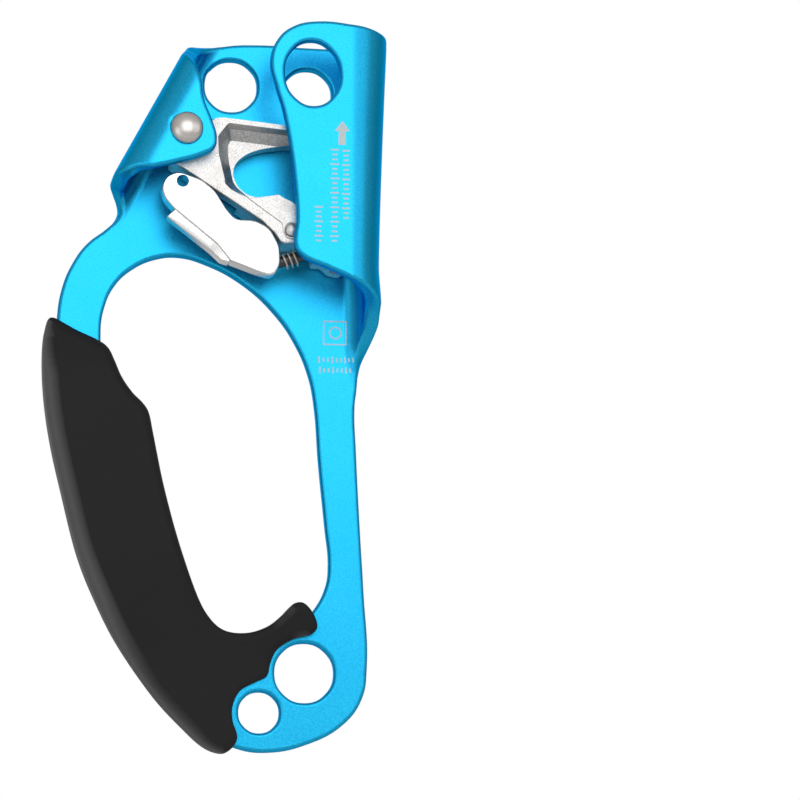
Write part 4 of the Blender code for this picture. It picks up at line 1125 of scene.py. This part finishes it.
# Brightness round the studio, from the front (Y = -1) to the back
SKY_LEVELS = ((0.0, 0.72), (0.03, 0.68), (0.1, 0.48), (0.38, 0.40), (0.6, 0.27), (0.75, 0.36),
              (0.9, 0.9), (1.0, 1.0))
FLOOR_Z = -0.26  # metres
# Each light's name, place and aim, in metres, then its size in metres and its watts
LIGHTS = (("softbox", (0.0, -0.75, 0.16), (0.0, 0.0, 0.06), 0.44, 0.92),
          ("left_light", (-0.45, -0.5, -0.12), (0.02, 0.0, -0.01), 0.36, 0.32),
          ("right_light", (0.46, -0.55, 0.1), (0.0, 0.0, 0.0), 0.42, 0.34))


def make_camera():
    """The photograph's viewpoint: nearly square on, from a little left and below."""
    data = bpy.data.cameras.new("camera")
    data.sensor_width = 36.0
    data.lens = CAMERA_LENS
    camera = add_object("camera", data)
    azimuth, elevation, distance = CAMERA_AT
    away = Vector((cos(elevation) * sin(azimuth), -cos(elevation) * cos(azimuth),
                   sin(elevation)))
    camera.location = Vector(CAMERA_TARGET) + away * distance
    camera.rotation_euler = away.to_track_quat("Z", "Y").to_euler()
    bpy.context.scene.camera = camera


def make_world():
    """A white studio: bright in front of and behind the object, dimmer at its sides."""
    world = bpy.data.worlds.new("studio")
    bpy.context.scene.world = world
    world.use_nodes = True
    tree = world.node_tree
    tree.nodes.clear()
    split = add_node(tree, "ShaderNodeSeparateXYZ", {0: coordinates(tree, "Generated")})
    ramp = add_node(tree, "ShaderNodeValToRGB", {0: spread(tree, split.outputs["Y"], 0.0, 1.0, -1.0, 1.0)})
    for position, _level in SKY_LEVELS[1:-1]:
        ramp.color_ramp.elements.new(position)
    for element, (_position, level) in zip(ramp.color_ramp.elements, SKY_LEVELS):
        element.color = (level, level, level, 1.0)
    strength = spread(tree, split.outputs["Z"], 0.55, 1.15, -0.6, 0.6)
    light = add_node(tree, "ShaderNodeBackground", {"Color": ramp.outputs[0], "Strength": strength})
    plain = add_node(tree, "ShaderNodeBackground", {"Color": (1.0, 1.0, 1.0, 1.0)})
    seen = add_node(tree, "ShaderNodeLightPath", {}).outputs["Is Camera Ray"]
    mix = add_node(tree, "ShaderNodeMixShader", {0: seen, 1: light.outputs[0], 2: plain.outputs[0]})
    add_node(tree, "ShaderNodeOutputWorld", {0: mix.outputs[0]})


def make_floor():
    """A plain pale floor below the object."""
    bm = bmesh.new()
    bmesh.ops.create_grid(bm, x_segments=1, y_segments=1, size=3.0)
    floor = solid("floor", bm, new_material("floor", (0.86, 0.86, 0.86), 0.7, 0.0)[0])
    floor.location = (0, 0, FLOOR_Z)


def area_light(name, place, aim, size, power):
    """A square soft light."""
    data = bpy.data.lights.new(name, "AREA")
    data.size = size
    data.energy = power
    made = add_object(name, data)
    made.visible_camera = False
    made.location = place
    made.rotation_euler = (Vector(place) - Vector(aim)).to_track_quat("Z", "Y").to_euler()


def main():
    """Build every visible piece and the studio around it."""
    bpy.context.scene.view_settings.view_transform = "Standard"
    blue = anodised_blue()
    rubber = grip_rubber()
    cast = cast_steel()
    bright = satin_steel("bright_steel", (0.90, 0.89, 0.88), 0.22, 2500.0, 0.00001)
    turned_steel = satin_steel("turned_steel", (0.74, 0.70, 0.66), 0.30, 2500.0, 0.00001)
    spring = satin_steel("spring_wire", (0.72, 0.64, 0.56), 0.28, 3000.0, 0.00001)
    blackened = satin_steel("blackened_steel", (0.10, 0.10, 0.105), 0.4, 2500.0, 0.00001)
    bronze = satin_steel("bush_bronze", (0.55, 0.38, 0.18), 0.40, 1500.0, 0.00002)
    make_plate(blue)
    make_grip(rubber)
    make_cam(cast)
    make_catch(bright)
    make_springs(spring)
    make_pins(turned_steel, cast, blackened)
    make_marks(laser_mark())
    finishes = {"cam_axle_collar": turned_steel, "cam_front_washer": turned_steel,
                "cam_rear_washer": turned_steel, "cam_bush": bronze}
    for node, finish in finishes.items():
        frame["nodes"][node].data.materials.clear()
        frame["nodes"][node].data.materials.append(finish)
    make_camera()
    make_world()
    make_floor()
    for light in LIGHTS:
        area_light(*light)


main()
